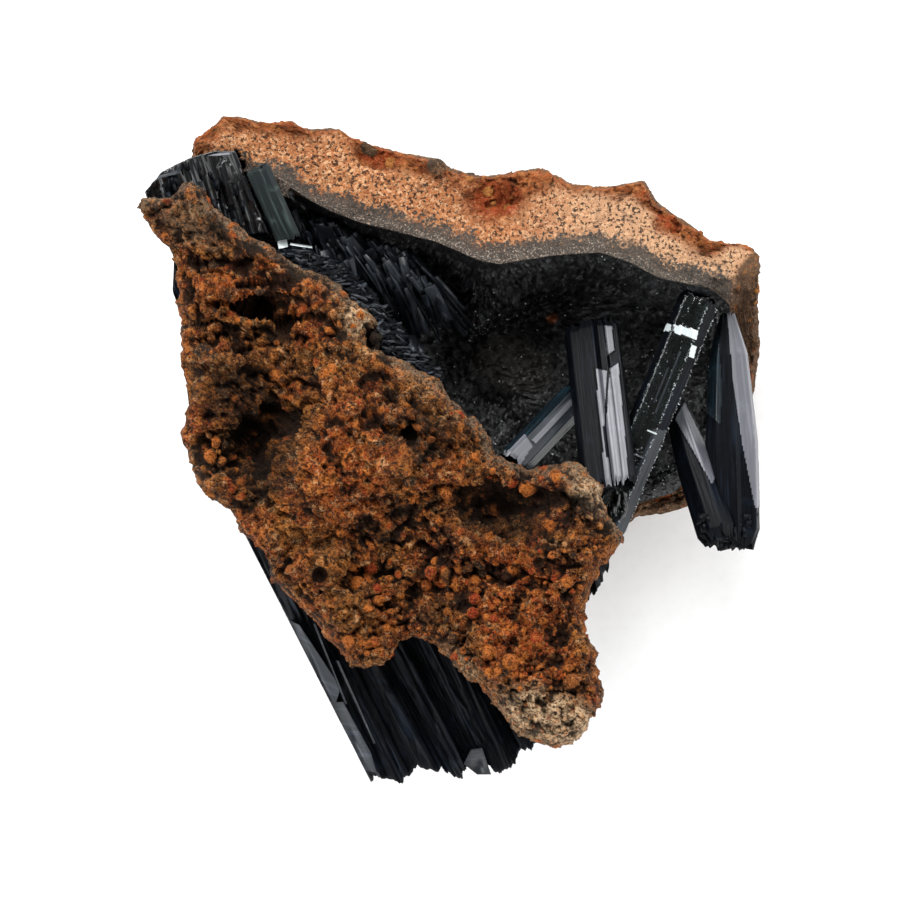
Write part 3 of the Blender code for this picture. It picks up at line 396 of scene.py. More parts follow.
def crystal_faces(points, cell, seed, slope):
    """Height of small crystal faces: each point takes the sloping plane of its nearest centre.

    Three of a centre's random numbers slope its plane, the fourth lifts it, and the fifth is spare.
    """
    nearest = np.full(points.shape[:-1], FAR)
    height = np.zeros(points.shape[:-1])
    for away, number in neighbours(points, cell, seed, 5):
        distance = (away ** 2).sum(-1)
        plane = ((number[..., :3] - 0.5) * away).sum(-1) * slope + (number[..., 3] - 0.5) * cell * 0.5
        height = np.where(distance < nearest, plane, height)
        nearest = np.minimum(distance, nearest)
    return height


def single_balls(plan, balls):
    """Height of named balls over plan points, sqrt(r^2 - d^2) each, and the tint of the highest."""
    rise = np.zeros(plan.shape[:-1])
    tint = np.zeros(plan.shape[:-1])
    for ball in balls:
        room = ball[2] ** 2 - (plan[..., 0] - ball[0]) ** 2 - (plan[..., 1] - ball[1]) ** 2
        height = np.sqrt(np.maximum(room, 0))
        tint = np.where(height > rise, ball[3] if len(ball) > 3 else 0, tint)
        rise = np.maximum(rise, height)
    return rise, tint


def crowded_balls(patches, seed):
    """Small balls placed at random about each patch's middle: x, y, radius, tint."""
    chance = np.random.default_rng(seed)
    spread = [chance.normal(patch[:2], patch[2:4], (patch[4], 2)) for patch in patches]
    spread = np.concatenate(spread)
    sizes = 0.35 + 0.45 * chance.random((len(spread), 1)) ** 1.5
    return np.concatenate([spread, sizes, chance.random((len(spread), 1))], axis=1)


def relief(x, y, bumps):
    """Sum of rounded bumps, each exp(-q^3), q the distance in a turned ellipse's half widths."""
    height = np.zeros_like(x)
    for centre_x, centre_y, long, wide, turn, rise in bumps:
        angle = np.radians(turn)
        along = (x - centre_x) * np.cos(angle) + (y - centre_y) * np.sin(angle)
        across = (y - centre_y) * np.cos(angle) - (x - centre_x) * np.sin(angle)
        height += rise * np.exp(-((along / long) ** 2 + (across / wide) ** 2) ** 1.5)
    return height


def undercut(plan, ledges):
    """Depth under ledges: a full drop just below each line, depth * exp(-(d / width)^2) further away."""
    depth = np.zeros(plan.shape[:-1])
    for line, drop, width in ledges:
        edge = np.interp(plan[..., 0], *np.array(line).T)
        away = distance_to_line(plan, line, closed=False)
        depth += drop * np.clip((edge - plan[..., 1]) / 0.3, 0, 1) * np.exp(-(away / width) ** 2)
    return depth


def eased(count):
    """Values from 0 to 1 that crowd a little towards both ends."""
    even = np.linspace(0, 1, count + 1)
    return 0.45 * even + 0.55 * (0.5 - 0.5 * np.cos(np.pi * even))


def along_line(points, shares):
    """Points at the given shares of a broken line's length."""
    points = np.array(points, float)
    lengths = np.concatenate([[0], np.cumsum(np.linalg.norm(np.diff(points, axis=0), axis=1))])
    target = np.asarray(shares) * lengths[-1]
    return np.stack([np.interp(target, lengths, axis) for axis in points.T], axis=-1)


def coarse_plan():
    """Grid of plan points between the front slab's four sides, each blended into the opposite one."""
    share = eased(FRONT_CELLS)
    upper = along_line(FRONT_DIAGONAL, share)[None, :, :]
    lower = along_line(FRONT_BOTTOM[::-1], share)[None, :, :]
    west = along_line(FRONT_LEFT, share)[:, None, :]
    east = along_line(FRONT_RIGHT[::-1], share)[:, None, :]
    u = share[None, :, None]
    v = share[:, None, None]
    corners = ((1 - u) * (1 - v) * lower[:, :1] + u * (1 - v) * lower[:, -1:]
               + (1 - u) * v * upper[:, :1] + u * v * upper[:, -1:])
    return relaxed((1 - v) * lower + v * upper + (1 - u) * west + u * east - corners)


def relaxed(plan, rounds=400):
    """The grid with its inner points moved until its lines lie smoothly inside the border.

    Each round solves the elliptic grid equation a*P_uu - 2b*P_uv + c*P_vv = 0 once, where a, b
    and c are the products of the grid's own slopes, so no cell folds over at a notch.
    """
    for _ in range(rounds):
        across = (plan[1:-1, 2:] - plan[1:-1, :-2]) / 2
        along = (plan[2:, 1:-1] - plan[:-2, 1:-1]) / 2
        a = (along ** 2).sum(-1, keepdims=True)
        b = (across * along).sum(-1, keepdims=True)
        c = (across ** 2).sum(-1, keepdims=True)
        mixed = (plan[2:, 2:] - plan[2:, :-2] - plan[:-2, 2:] + plan[:-2, :-2]) / 4
        sides = a * (plan[1:-1, 2:] + plan[1:-1, :-2]) + c * (plan[2:, 1:-1] + plan[:-2, 1:-1])
        plan[1:-1, 1:-1] = (sides - 2 * b * mixed) / (2 * (a + c))
    return plan


def fine_plan(cells):
    """The coarse grid filled in to `cells`, its border drawn out to the true outline.

    What each border point moves by fades inwards with the sixth power of the way across.
    """
    share = eased(cells)
    at = np.interp(share, eased(FRONT_CELLS), np.arange(FRONT_CELLS + 1))
    low = np.minimum(at.astype(int), FRONT_CELLS - 1)
    part = at - low
    coarse = coarse_plan()
    rows = coarse[low] * (1 - part)[:, None, None] + coarse[low + 1] * part[:, None, None]
    plan = rows[:, low] * (1 - part)[None, :, None] + rows[:, low + 1] * part[None, :, None]
    near = (1 - share) ** 6
    far = share ** 6
    upper = (along_line(FRONT_DIAGONAL, share) - plan[-1])[None] * far[:, None, None]
    lower = (along_line(FRONT_BOTTOM[::-1], share) - plan[0])[None] * near[:, None, None]
    west = (along_line(FRONT_LEFT, share) - plan[:, 0])[:, None] * near[None, :, None]
    east = (along_line(FRONT_RIGHT[::-1], share) - plan[:, -1])[:, None] * far[None, :, None]
    return plan + upper + lower + west + east


def distance_to_line(plan, line, closed=True):
    """Shortest distance from each plan point to a broken line."""
    start = np.array(line, float)
    edge = np.roll(start, -1, axis=0) - start
    if not closed:
        start, edge = start[:-1], edge[:-1]
    best = np.full(plan.shape[:-1], FAR)
    for origin, run in zip(start, edge):
        share = np.clip(((plan - origin) @ run) / (run @ run), 0, 1)
        best = np.minimum(best, np.linalg.norm(plan - origin - share[..., None] * run, axis=-1))
    return best


def inside_outline(plan, outline):
    """Whether each plan point lies in a closed outline, by counting the edges to its right."""
    odd = np.zeros(plan.shape[:-1], bool)
    points = np.array(outline, float)
    for start, end in zip(points, np.roll(points, -1, axis=0)):
        spans = (start[1] > plan[..., 1]) != (end[1] > plan[..., 1])
        slope = (end[0] - start[0]) / (end[1] - start[1] if end[1] != start[1] else 1)
        odd ^= spans & (plan[..., 0] < start[0] + (plan[..., 1] - start[1]) * slope)
    return odd


def reach_of(outline, bearing):
    """Distance from the hollow's middle to an outline along each bearing, in radians.

    It is where the ray along the bearing crosses the edge between the corners on either side of it.
    """
    points = np.array(outline, float) - HOLLOW_CENTRE
    angles = np.arctan2(points[:, 1], points[:, 0])
    points = points[np.argsort(angles)]
    angles = np.sort(angles)
    after = np.searchsorted(angles, bearing) % len(angles)
    first = points[after - 1]
    run = points[after] - first
    ray = np.stack([np.cos(bearing), np.sin(bearing)], axis=-1)
    cross = ray[..., 0] * run[..., 1] - ray[..., 1] * run[..., 0]
    return (first[..., 0] * run[..., 1] - first[..., 1] * run[..., 0]) / cross


def disc_grid(cells):
    """Ring (0 to 1) and bearing of each point of a square grid wrapped round into a disc.

    With a and b from -1 to 1 across the square, the ring is the greater of |a| and |b|, and each of
    the square's sides takes a quarter turn of the bearing.
    """
    line = np.linspace(-1, 1, cells + 1)
    a, b = np.meshgrid(line, line)
    ring = np.maximum(np.abs(a), np.abs(b))
    safe = np.where(ring > 0, ring, 1)
    wide = np.abs(a) >= np.abs(b)
    bearing = np.where(wide, (b / np.where(wide, np.where(a == 0, 1, a), 1)) * np.pi / 4,
                       np.pi / 2 - (a / np.where(wide, 1, safe * np.sign(b) + (b == 0))) * np.pi / 4)
    flip = np.where(wide, a < 0, b < 0)
    bearing = np.where(flip, bearing + np.pi, bearing)
    return ring, (bearing + np.pi) % (2 * np.pi) - np.pi


def front_height(plan):
    """Height of the front slab's weathered face over a plan point, without its fine detail."""
    x, y = plan[..., 0], plan[..., 1]
    spot = level(x, y)
    rough = uneven(spot, *FRONT_COARSE) + uneven(spot, *FRONT_FINE)
    lean = FRONT_LEAN[0] * (x - FRONT_MIDDLE[0]) + FRONT_LEAN[1] * (y - FRONT_MIDDLE[1])
    return FRONT_TOP + lean + relief(x, y, FRONT_RELIEF) + rough


def wall_share(bearing):
    """Height of the hollow's edge along a bearing, and how much of a full wall that makes."""
    rim = np.interp(np.degrees(bearing), RIM_BEARINGS, RIM_HEIGHTS)
    return rim, np.clip((rim - FLOOR_HEIGHT) / (RIM_HEIGHT - FLOOR_HEIGHT), 0, 1)


def back_surface(ring, bearing, lift=0.0):
    """Upper surface of the back slab, from the hollow's floor over its edge to the widest line.

    Stations run outwards along each bearing: middle of the floor, foot of the wall, belly of the
    wall, edge of the hollow, outer edge of the broken face, widest line. `lift` moves the surface
    into the hollow: up off the floor, and towards the middle off the wall.
    """
    outer = reach_of(BACK_OUTLINE, bearing)
    inner = np.minimum(reach_of(RIM_OUTLINE, bearing), outer - 1.5)
    rim, wall = wall_share(bearing)
    foot = np.minimum(FLOOR_HEIGHT + 1.5, rim - 0.4)
    stations = (0, FOOT, BELLY, EDGE, OUTER, 1)
    reaches = (0 * outer, inner - 2.0 - WALL_RUN * wall, inner - 1.0 + WALL_BELLY * wall, inner,
               outer - 0.9, outer)
    belly = np.maximum(foot + 0.2, rim - EDGE_DROP * wall - 0.2)
    heights = (FLOOR_HEIGHT + 0 * outer, foot, belly, rim,
               rim - 1.4 - 0.6 * wall, rim - 3.0 - SIDE_DROP * wall)
    reach = np.zeros_like(ring)
    height = np.zeros_like(ring)
    for k in range(len(stations) - 1):
        share = (ring - stations[k]) / (stations[k + 1] - stations[k])
        here = (share >= 0) & (share <= 1)
        reach = np.where(here, reaches[k] * (1 - share) + reaches[k + 1] * share, reach)
        height = np.where(here, heights[k] * (1 - share) + heights[k + 1] * share, height)
    x = HOLLOW_CENTRE[0] + reach * np.cos(bearing)
    y = HOLLOW_CENTRE[1] + reach * np.sin(bearing)
    outside = np.clip((1 - ring) / (1 - OUTER), 0, 1)
    band = np.clip((ring - EDGE) / (1 - OUTER), 0, 1) * outside
    rough = uneven(np.stack([x, y, height], axis=-1), *BACK_COARSE) * outside
    rough = rough * np.where(ring < BELLY, 1.3, 0.6)
    height = height + relief(x, y, BROKEN_RELIEF) * band * wall + rough
    inward = lift * np.interp(ring, (0, FOOT, 1), (0, 1, 1))
    raised = lift * np.interp(ring, (0, FOOT, EDGE), (1, 1, -0.3)) * wall + lift * (1 - wall)
    x = x - inward * np.cos(bearing)
    y = y - inward * np.sin(bearing)
    return np.stack([x, y, height + raised], axis=-1)


def back_underside(ring, bearing):
    """Underside of the back slab: it curves down from the widest line to flats on the surface."""
    edge = back_surface(np.ones_like(ring), bearing)
    outer = reach_of(BACK_OUTLINE, bearing)
    reach = outer * np.interp(ring, (0, 0.75, 0.9, 1), (0, 0.8, 0.95, 1))
    x = HOLLOW_CENTRE[0] + reach * np.cos(bearing)
    y = HOLLOW_CENTRE[1] + reach * np.sin(bearing)
    curve = np.interp(ring, (0, 0.62, 0.8, 0.9, 1), (0, 0, 0.16, 0.45, 1))
    spot = level(x, y)
    bulge = uneven(spot, *UNDER_BULGES) * np.interp(ring, (0.6, 0.75, 0.9, 0.97), (0, 1, 1, 0))
    x = x + bulge * np.cos(bearing)
    y = y + bulge * np.sin(bearing)
    hollow = np.maximum(uneven(spot, *UNDER_HOLLOWS) - FLAT_SHARE, 0)
    lift = np.where(ring < 0.99, hollow * np.clip((1 - ring) * 6, 0, 1), 0)
    return np.stack([x, y, curve * edge[..., 2] + lift], axis=-1)


def outward(grid):
    """Unit normals of a grid, from the cross product of its slopes along rows and columns."""
    normal = np.cross(np.gradient(grid, axis=1), np.gradient(grid, axis=0))
    return normal / np.maximum(np.linalg.norm(normal, axis=-1, keepdims=True), 1e-9)


# ---------------------------------------------------------------- shapes as meshes

def border(rows, columns):
    """Row and column of each point round a grid's edge, in order; the sizes are in cells."""
    down, across = np.arange(rows), np.arange(columns)
    row = np.concatenate([0 * across, down, 0 * across + rows, rows - down])
    column = np.concatenate([across, 0 * down + columns, columns - across, 0 * down])
    return row, column


def sheet_faces(rows, columns, first=0):
    """Quads of a grid whose points are numbered row by row from `first`."""
    row, column = np.divmod(np.arange(rows * columns), columns)
    a = first + row * (columns + 1) + column
    return np.stack([a, a + 1, a + columns + 2, a + columns + 1], axis=1)


def solid(points, blocks, finish=0, **marks):
    """One closed shape: points, arrays of faces by their corner count, finishes and marks.

    Marks are numbers per point. The faces are turned outwards by the sign of the volume, the sum
    of each face's corners' triple products.
    """
    volume = 0.0
    for block in blocks:
        corners = points[block]
        for k in range(1, block.shape[1] - 1):
            volume += (corners[:, 0] * np.cross(corners[:, k], corners[:, k + 1])).sum()
    if volume < 0:
        blocks = [block[:, ::-1] for block in blocks]
    finish = [np.broadcast_to(f, len(block)) for f, block in
              zip(finish if isinstance(finish, list) else [finish] * len(blocks), blocks)]
    return {"points": points, "blocks": blocks, "finish": finish, "marks": marks}


def sewn(top, bottom, **marks):
    """A fine upper grid and a lower one of half as many cells, sewn along every second border point.

    A mark is a pair of values for the two grids, or the upper one's alone, which the lower one shares.
    """
    cells = top.shape[0] - 1
    half = cells // 2
    row, column = border(cells, cells)
    edge = row * (cells + 1) + column
    second = (cells + 1) ** 2
    low_row, low_column = border(half, half)
    index = second + np.arange((half + 1) ** 2)
    index[low_row * (half + 1) + low_column] = edge[::2]
    lower = index[sheet_faces(half, half)[:, ::-1]]
    gaps = np.stack([edge[::2], np.roll(edge, -2)[::2], edge[1::2]], axis=1)
    points = np.concatenate([top.reshape(-1, 3), bottom.reshape(-1, 3)])
    full = {}
    for name, values in marks.items():
        upper, under = values if isinstance(values, tuple) else (values, values[::2, ::2])
        under = np.broadcast_to(under, bottom.shape[:2])
        full[name] = np.concatenate([upper.reshape(-1), under.reshape(-1)])
    return solid(points, [sheet_faces(cells, cells), lower, gaps], **full)


def strip_pair(upper, lower, **marks):
    """Two grids of one size, joined by a strip of quads round their edges."""
    rows, columns = upper.shape[0] - 1, upper.shape[1] - 1
    points = np.concatenate([upper.reshape(-1, 3), lower.reshape(-1, 3)])
    second = (rows + 1) * (columns + 1)
    row, column = border(rows, columns)
    edge = row * (columns + 1) + column
    after = np.roll(edge, -1)
    strip = np.stack([edge, edge + second, after + second, after], axis=1)
    under = sheet_faces(rows, columns, second)[:, ::-1]
    both = {name: np.concatenate([values.reshape(-1)] * 2) for name, values in marks.items()}
    return solid(points, [sheet_faces(rows, columns), under, strip], **both)


def piece(name, node_name, shapes, finishes, smooth=False):
    """Puts closed shapes into one mesh, which stands for a node and rides with the specimen.

    The finish that a shape or a face was given is its number in the list `finishes`.
    """
    counts = [len(shape["points"]) for shape in shapes]
    starts = np.concatenate([[0], np.cumsum(counts)[:-1]])
    points = (np.concatenate([shape["points"] for shape in shapes]) + SHIFT) * MM
    blocks = [block + start for shape, start in zip(shapes, starts) for block in shape["blocks"]]
    sizes = np.concatenate([np.full(len(block), block.shape[1]) for block in blocks])
    loops = np.concatenate([block.reshape(-1) for block in blocks])
    mesh = bpy.data.meshes.new(name)
    mesh.vertices.add(len(points))
    mesh.vertices.foreach_set("co", points.reshape(-1).astype(np.float32))
    mesh.loops.add(len(loops))
    mesh.loops.foreach_set("vertex_index", loops.astype(np.int32))
    mesh.polygons.add(len(sizes))
    loop_starts = np.concatenate([[0], np.cumsum(sizes)[:-1]])
    mesh.polygons.foreach_set("loop_start", loop_starts.astype(np.int32))
    for finish in finishes:
        mesh.materials.append(finish)
    index = np.concatenate([part for shape in shapes for part in shape["finish"]])
    mesh.polygons.foreach_set("material_index", index.astype(np.int32))
    mesh.update(calc_edges=True)
    for mark in sorted({mark for shape in shapes for mark in shape["marks"]}):
        values = [shape["marks"].get(mark, np.zeros(count)) for shape, count in zip(shapes, counts)]
        attribute = mesh.attributes.new(mark, "FLOAT", "POINT")
        attribute.data.foreach_set("value", np.concatenate(values).astype(np.float32))
    if smooth:
        mesh.shade_smooth()
    thing = bpy.data.objects.new(name, mesh)
    bpy.context.scene.collection.objects.link(thing)
    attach(thing, "root")
    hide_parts(node_name)


# ---------------------------------------------------------------- the stone

def weathered_detail(spot):
    """Fine relief of weathered stone: lumps, crumbly facets, ooids standing out, and empty sockets.

    Gives its height, the tint of the ooid at each point, how far the point is on one, and the depth
    of the sockets.
    """
    lumps = lumpy(spot, *BROAD_LUMPS) + lumpy(spot, *SMALL_LUMPS)
    lumps = lumps + slanted(spot, *STONE_WAVES) - 0.1
    lumps = lumps + crystal_faces(spot, *BROAD_FACETS) + crystal_faces(spot, *SMALL_FACETS)
    rise, tint = grains(spot, *OOIDS)
    small, small_tint = grains(spot, *SMALL_OOIDS)
    lost = grains(spot, *SOCKETS)[0]
    height = lumps + 0.65 * rise + 0.6 * small - 0.7 * lost
    ball = np.maximum(np.clip(rise * 4, 0, 1), 0.5 * np.clip(small * 5, 0, 1))
    return height, np.where(rise > 0, tint, small_tint), ball, lost


def cut_down(surface, seat):
    """Lowers a surface to the height `seat` where the corner block stands."""
    block = inside_outline(surface[..., :2], BLOCK_TOPS + BLOCK_TIPS[::-1])
    surface[..., 2] = np.where(block, np.minimum(surface[..., 2], seat), surface[..., 2])


def make_weathered_slab(finish):
    """Front slab: a grid between its four sides, domed above and below its widest line.

    The dome is sqrt(1 - (1 - d)^2), with d the distance to the edge in widths of the rounding. The
    fine relief, the ledges with a drop below each, and the named ooids and sockets are added along
    the normal. The relief is weaker on calm patches and on named ooids, and above a limit it is
    flattened.
    """
    plan = fine_plan(SLAB_CELLS)
    x, y = plan[..., 0], plan[..., 1]
    inset = np.clip(distance_to_line(plan, FRONT_OUTLINE) / FRONT_EDGE, 0, 1)
    dome = np.sqrt(1 - (1 - inset) ** 2)
    top = np.concatenate([plan, (SIDE_Z + (front_height(plan) - SIDE_Z) * dome)[..., None]], axis=-1)
    height, tint, ball, lost = weathered_detail(top)
    ledged = np.clip(relief(x, y, LEDGE_PATCHES), 0, 1)
    ledges = 0.9 * crystal_faces(top * (0.3, 1, 1), *LEDGE_FACETS) * ledged
    wavy = plan + uneven(level(x, y), *LEDGE_WAVES)[..., None]
    shaded = undercut(wavy, LEDGES) * inset
    calm = np.clip(relief(x, y, CALM_PATCHES), 0, 1)
    balls = np.concatenate([LARGE_OOIDS, crowded_balls(OOID_PATCHES, seed=79)])
    named, named_tint = single_balls(plan, balls)
    sockets = single_balls(plan, LARGE_SOCKETS)[0]
    clear = (named > 0) | (sockets > 0)
    detail = height * (1 - calm) + (ledges - shaded)
    detail = detail * np.where(clear, 0.45, 1) + named - 1.1 * sockets
    normal = outward(top)
    normal[..., :2] *= 0.55 + 0.35 * inset[..., None]
    top = top + normal * (detail * (0.7 + 0.3 * inset))[..., None]
    top[..., 2] -= (1 - FRONT_LIMIT[1]) * np.maximum(top[..., 2] - FRONT_LIMIT[0], 0)
    under = SIDE_Z + (FRONT_UNDER - SIDE_Z) * dome[::2, ::2] + 0.3 * (1 - inset[::2, ::2])
    bottom = np.concatenate([plan[::2, ::2], under[..., None]], axis=-1)
    near_diagonal = distance_to_line(plan, FRONT_DIAGONAL, closed=False)
    # This line and the next are painted shade: the first darkens the large pits of the relief, the second the
    # low fine relief, the foot of each ledge and empty sockets.
    painted_basin_shade = np.clip(-relief(x, y, FRONT_RELIEF) / 7.0, 0, 0.25)
    hollow = np.clip(0.25 - (detail + 0.6 * shaded) / 1.5, 0, 1) + painted_basin_shade
    shape = sewn(
        top, bottom, hollow=hollow + np.clip(0.7 * (lost + sockets), 0, 1),
        ball=np.maximum(ball * ~clear, np.clip(named * 3, 0, 1)),
        tint=np.where(named > 0, named_tint, tint),
        grey=np.exp(-(near_diagonal / GREY_RIM) ** 2) + relief(x, y, GREY_PATCHES),
        # The last mark in this line is partly dark stain and partly painted shade over the recesses.
        pale=relief(x, y, PALE_PATCHES), rust=relief(x, y, RUST_PATCHES), umber=relief(x, y, UMBER_AND_SHADE_PATCHES))
    piece("weathered_slab", "matrix_front", [shape], [finish], smooth=True)


def make_broken_slab(finish):
    """Back slab: hollow, broken face and outer side over a half as fine underside.

    The broken face is packed with small ooids. Near its ragged outer edge, in its pits and on the
    outer side it is `raw`, with the relief of weathered stone. A grey zone follows the hollow's
    edge. Inside the hollow, which the crust covers, there is no fine relief.
    """
    ring, bearing = disc_grid(SLAB_CELLS)
    ring = np.interp(ring, (0, 0.1, 0.2, 0.78, 1), (0, FOOT, EDGE, OUTER, 1))
    top = back_surface(ring, bearing)
    plan = top[..., :2]
    x, y = plan[..., 0], plan[..., 1]
    wall = wall_share(bearing)[1]
    height, tint, ball, lost = weathered_detail(top)
    fine = grains(top, *PACKED_OOIDS)[0] * 0.6 + slanted(top, *BROKEN_WAVES)
    edge_distance = distance_to_line(plan, BACK_OUTLINE)
    pit = np.clip(relief(x, y, PIT_PATCHES), 0, 1)
    raw = np.clip(2.0 - (edge_distance + uneven(level(x, y), *RAW_EDGE_WAVES)) / 1.7, 0, 1) + pit
    raw = np.where((ring > OUTER) | (wall < 0.3), 1, np.clip(raw, 0, 1))
    named, named_tint = single_balls(plan, BROKEN_OOIDS)
    named = np.where((ring > EDGE) & (ring < OUTER), named, 0)
    share = np.interp(ring, (OUTER, 1), (0.9, 0.5))
    detail = np.where(ring > EDGE, fine * (1 - raw) + share * height * raw, 0)
    detail = detail * np.where(named > 0, 0.2, 1) + 0.9 * named
    normal = outward(top)
    steady = np.clip(edge_distance / 2.5, 0, 1)[..., None]
    normal[..., :2] *= 0.5 + 0.5 * steady
    top = top + normal * detail[..., None] * (0.75 + 0.25 * steady)
    cut_down(top, BLOCK_SEAT)

    low_ring, low_bearing = disc_grid(SLAB_CELLS // 2)
    low_ring = np.interp(low_ring, (0, 0.35, 1), (0, 0.62, 1))
    bottom = back_underside(low_ring, low_bearing)
    rough, low_tint, low_ball, low_lost = weathered_detail(bottom)
    rough = 0.7 * rough * np.clip(bottom[..., 2] / 2.5, 0, 1) * np.clip((1 - low_ring) / 0.1, 0.3, 1)
    bottom = bottom - outward(bottom) * rough[..., None]
    bottom[..., 2] = np.maximum(bottom[..., 2], 0)

    ragged = distance_to_line(plan, RIM_OUTLINE) + uneven(level(x, y), *GREY_EDGE_WAVES)
    grey = np.clip(1.35 - ragged / 3.6, 0, 1) * (ring >= EDGE) * wall
    turned_down = np.clip(x - 44.8 - 0.9 * np.maximum(y - 28.5, 0), 0, 1)
    side = np.where(ring > OUTER, (ring - OUTER) / (1 - OUTER), 0)
    side = np.maximum(side, turned_down) + relief(x, y, SIDE_PATCHES)
    side = np.clip(side - 1.5 * relief(x, y, RUSTY_PATCHES), 0, 1)
    raw = np.maximum(raw, turned_down)
    shape = sewn(
        top, bottom, raw=(raw, 1.0), grey=(grey, 0.0), side=(side, 1.0), pit=(pit, 0.0),
        # This mark makes the broken face paler towards +X.
        dry=(np.clip((x - 5.0) / 25.0, 0, 1), 0.0),
        ball=(np.maximum(ball * raw * (named == 0), named > 0), low_ball),
        tint=(np.where(named > 0, named_tint, tint), low_tint),
        # Painted shade: this mark darkens the low fine relief and empty sockets, above and below.
        hollow=(np.clip(0.25 - detail / 1.6, 0, 1) + np.clip(lost, 0, 1) * raw,
                np.clip(0.25 - rough / 1.6, 0, 1) + np.clip(low_lost, 0, 1)))
    piece("broken_slab", "matrix_back", [shape], [finish], smooth=True)


def crust_grid(cells):
    """Ring and bearing of a grid over the hollow, with most of its cells on the floor."""
    ring, bearing = disc_grid(cells)
    return np.interp(ring, (0, 0.62, 1), (0, FOOT, EDGE)), bearing


def make_crystal_lining(druse, dull, lined, painted_glint):
    """Crust of the hollow: the hollow's own surface, lifted, with small crystal faces all over it.

    It thins out to nothing at the rim. Splinters of the larger blades lie on the wall at the left,
    and tiny crystals, near white as painted glints, are strewn over the crust.
    """
    ring, bearing = crust_grid(CRUST_CELLS)
    low_ring, low_bearing = crust_grid(CRUST_CELLS // 2)
    thinning = (0, 0.93 * EDGE, EDGE)
    upper_lift = np.interp(ring, thinning, (CRUST_LIFT + CRUST, CRUST_LIFT + CRUST, 0.3))
    lower_lift = np.interp(low_ring, thinning, (CRUST_LIFT, CRUST_LIFT, 0.05))
    base = back_surface(ring, bearing, upper_lift)
    bottom = back_surface(low_ring, low_bearing, lower_lift)
    x, y = base[..., 0], base[..., 1]
    faces = crystal_faces(base, *CRUST_FACETS) + crystal_faces(base, *SMALL_CRUST_FACETS) * 0.8
    swell = slanted(base, *CRUST_WAVES) + slanted(base, *CRUST_RIPPLES)
    swell = swell + relief(x, y, CRUST_SWELLS)
    thin = np.interp(ring, thinning, (1, 1, 0))
    rise = faces * np.maximum(thin, 0.4) + swell * thin - 0.5 * (1 - thin)
    top = base + outward(base) * rise[..., None]
    cut_down(top, CRUST_SEAT)
    shape = sewn(top, bottom, stain=relief(x, y, STAIN_PATCHES), dust=relief(x, y, DUST_PATCHES))
    chance = np.random.default_rng(84)
    splinters = wall_splinters(chance)
    points = top.reshape(-1, 3)
    spots = points[chance.integers(len(points) // 40, len(points) * 7 // 8, SPARKS)]
    # Near white crumbs: painted glints on the crust.
    sparks = crumbs(spots, 0.05 + 0.2 * chance.random(SPARKS) ** 4, seed=87, finish=3)
    flakes = [plate(*flake) for flake in WALL_FLAKES]
    piece("crystal_lining", "vivianite_druse", [shape, sparks] + flakes + splinters,
          [druse, dull, lined, painted_glint])


# ---------------------------------------------------------------- the crystals

def splintered(across, along, seed):
    """Depth of broken crystal, 0 to about 1: waves and facets drawn out seven times along the blades."""
    spot = np.stack([across + 0 * along, along / 7, 0.1 * along], axis=-1)
    return np.abs(uneven(spot, 1.7, 1.2, seed)) + crystal_faces(spot, 0.9, seed, 1.6)


def blade_fan(tops, tips, under, drop, seed, columns, rows, ragged, shatter=0.0):
    """Blades side by side, each a flat facet split into fine columns that end at their own heights.

    The coarse steps are those of the solid, and the top falls by the square of the way along.
    Every column adds its own small step, which changes where a growth layer stops along the blade,
    and its own length at the free end.
    """
    blades = len(tops) - 1
    chance = np.random.default_rng(seed)
    coarse = np.repeat(np.arange(blades), 2) + np.tile((0.05, 0.95), blades)
    top_step = chance.uniform(0, BLADE_STEP, 2 * blades)
    fall = chance.uniform(0.5, 1, 2 * blades)
    base_step = chance.uniform(0, 1.6, 2 * blades)
    inner = np.arange(blades)[:, None] + np.linspace(0.05, 0.95, columns)
    place = inner.reshape(-1)
    lines = np.arange(blades + 1)
    start = np.stack([np.interp(place, lines, axis) for axis in np.array(tops).T], axis=-1)
    end = np.stack([np.interp(place, lines, axis) for axis in np.array(tips).T], axis=-1)
    length = np.linalg.norm(end - start, axis=1)
    way = np.linspace(0, 1, rows)[:, None]
    groups = np.repeat(chance.uniform(-1, 1, len(place) // 4 + 1), 4)[:len(place)]
    wave = np.interp(place, np.arange(0, blades + 0.5, 0.5), chance.uniform(-1, 1, 2 * blades + 1))
    own = chance.uniform(-1, 1, len(place))
    reach = 1 + ragged * (0.25 * groups + 0.55 * wave + 0.08 * own - 0.4) / length
    plan = start + (end - start) * (way * reach)[..., None]
    step = np.interp(place, coarse, top_step) * np.minimum(0.15 + 1.7 * way, 1)
    crest = BLADE_TOP - step - drop * np.interp(place, coarse, fall) * way ** 2
    first = chance.normal(0, 0.07, len(place)) + 0.28 * (chance.random(len(place)) < 0.14)
    second = chance.normal(0, 0.07, len(place)) + 0.45 * (chance.random(len(place)) < 0.12)
    change = chance.uniform(0.15, 0.95, len(place))
    crest = crest - np.abs(np.where(way > change, second, first))
    crest = crest - shatter * splintered(place * 3.0, way * length, seed)
    base = under[0] + (under[1] - under[0]) * way ** 1.5 + np.interp(place, coarse, base_step)
    upper = np.concatenate([plan, crest[..., None]], axis=-1)
    lower = np.concatenate([plan, base[..., None]], axis=-1)
    across = np.cumsum(np.concatenate([[0], np.linalg.norm(np.diff(start + end, axis=0), axis=1) / 2]))
    return strip_pair(upper, lower, across=np.broadcast_to(across, crest.shape), along=way * length)


def plate(corners, thickness, finish=0):
    """A thin flake: a flat outline with a height at each corner, and its copy `thickness` below."""
    upper = np.array(corners, float)
    count = len(upper)
    ring = np.arange(count)
    after = np.roll(ring, -1)
    points = np.concatenate([upper, upper - (0, 0, thickness)])
    walls = np.stack([ring, after, after + count, ring + count], axis=1)
    way = upper[1] - upper[0]
    way = way / np.linalg.norm(way)
    along = points @ way
    across = points @ np.cross(way, (0, 0, 1))
    return solid(points, [ring[None], ring[::-1][None] + count, walls], finish, across=across, along=along)


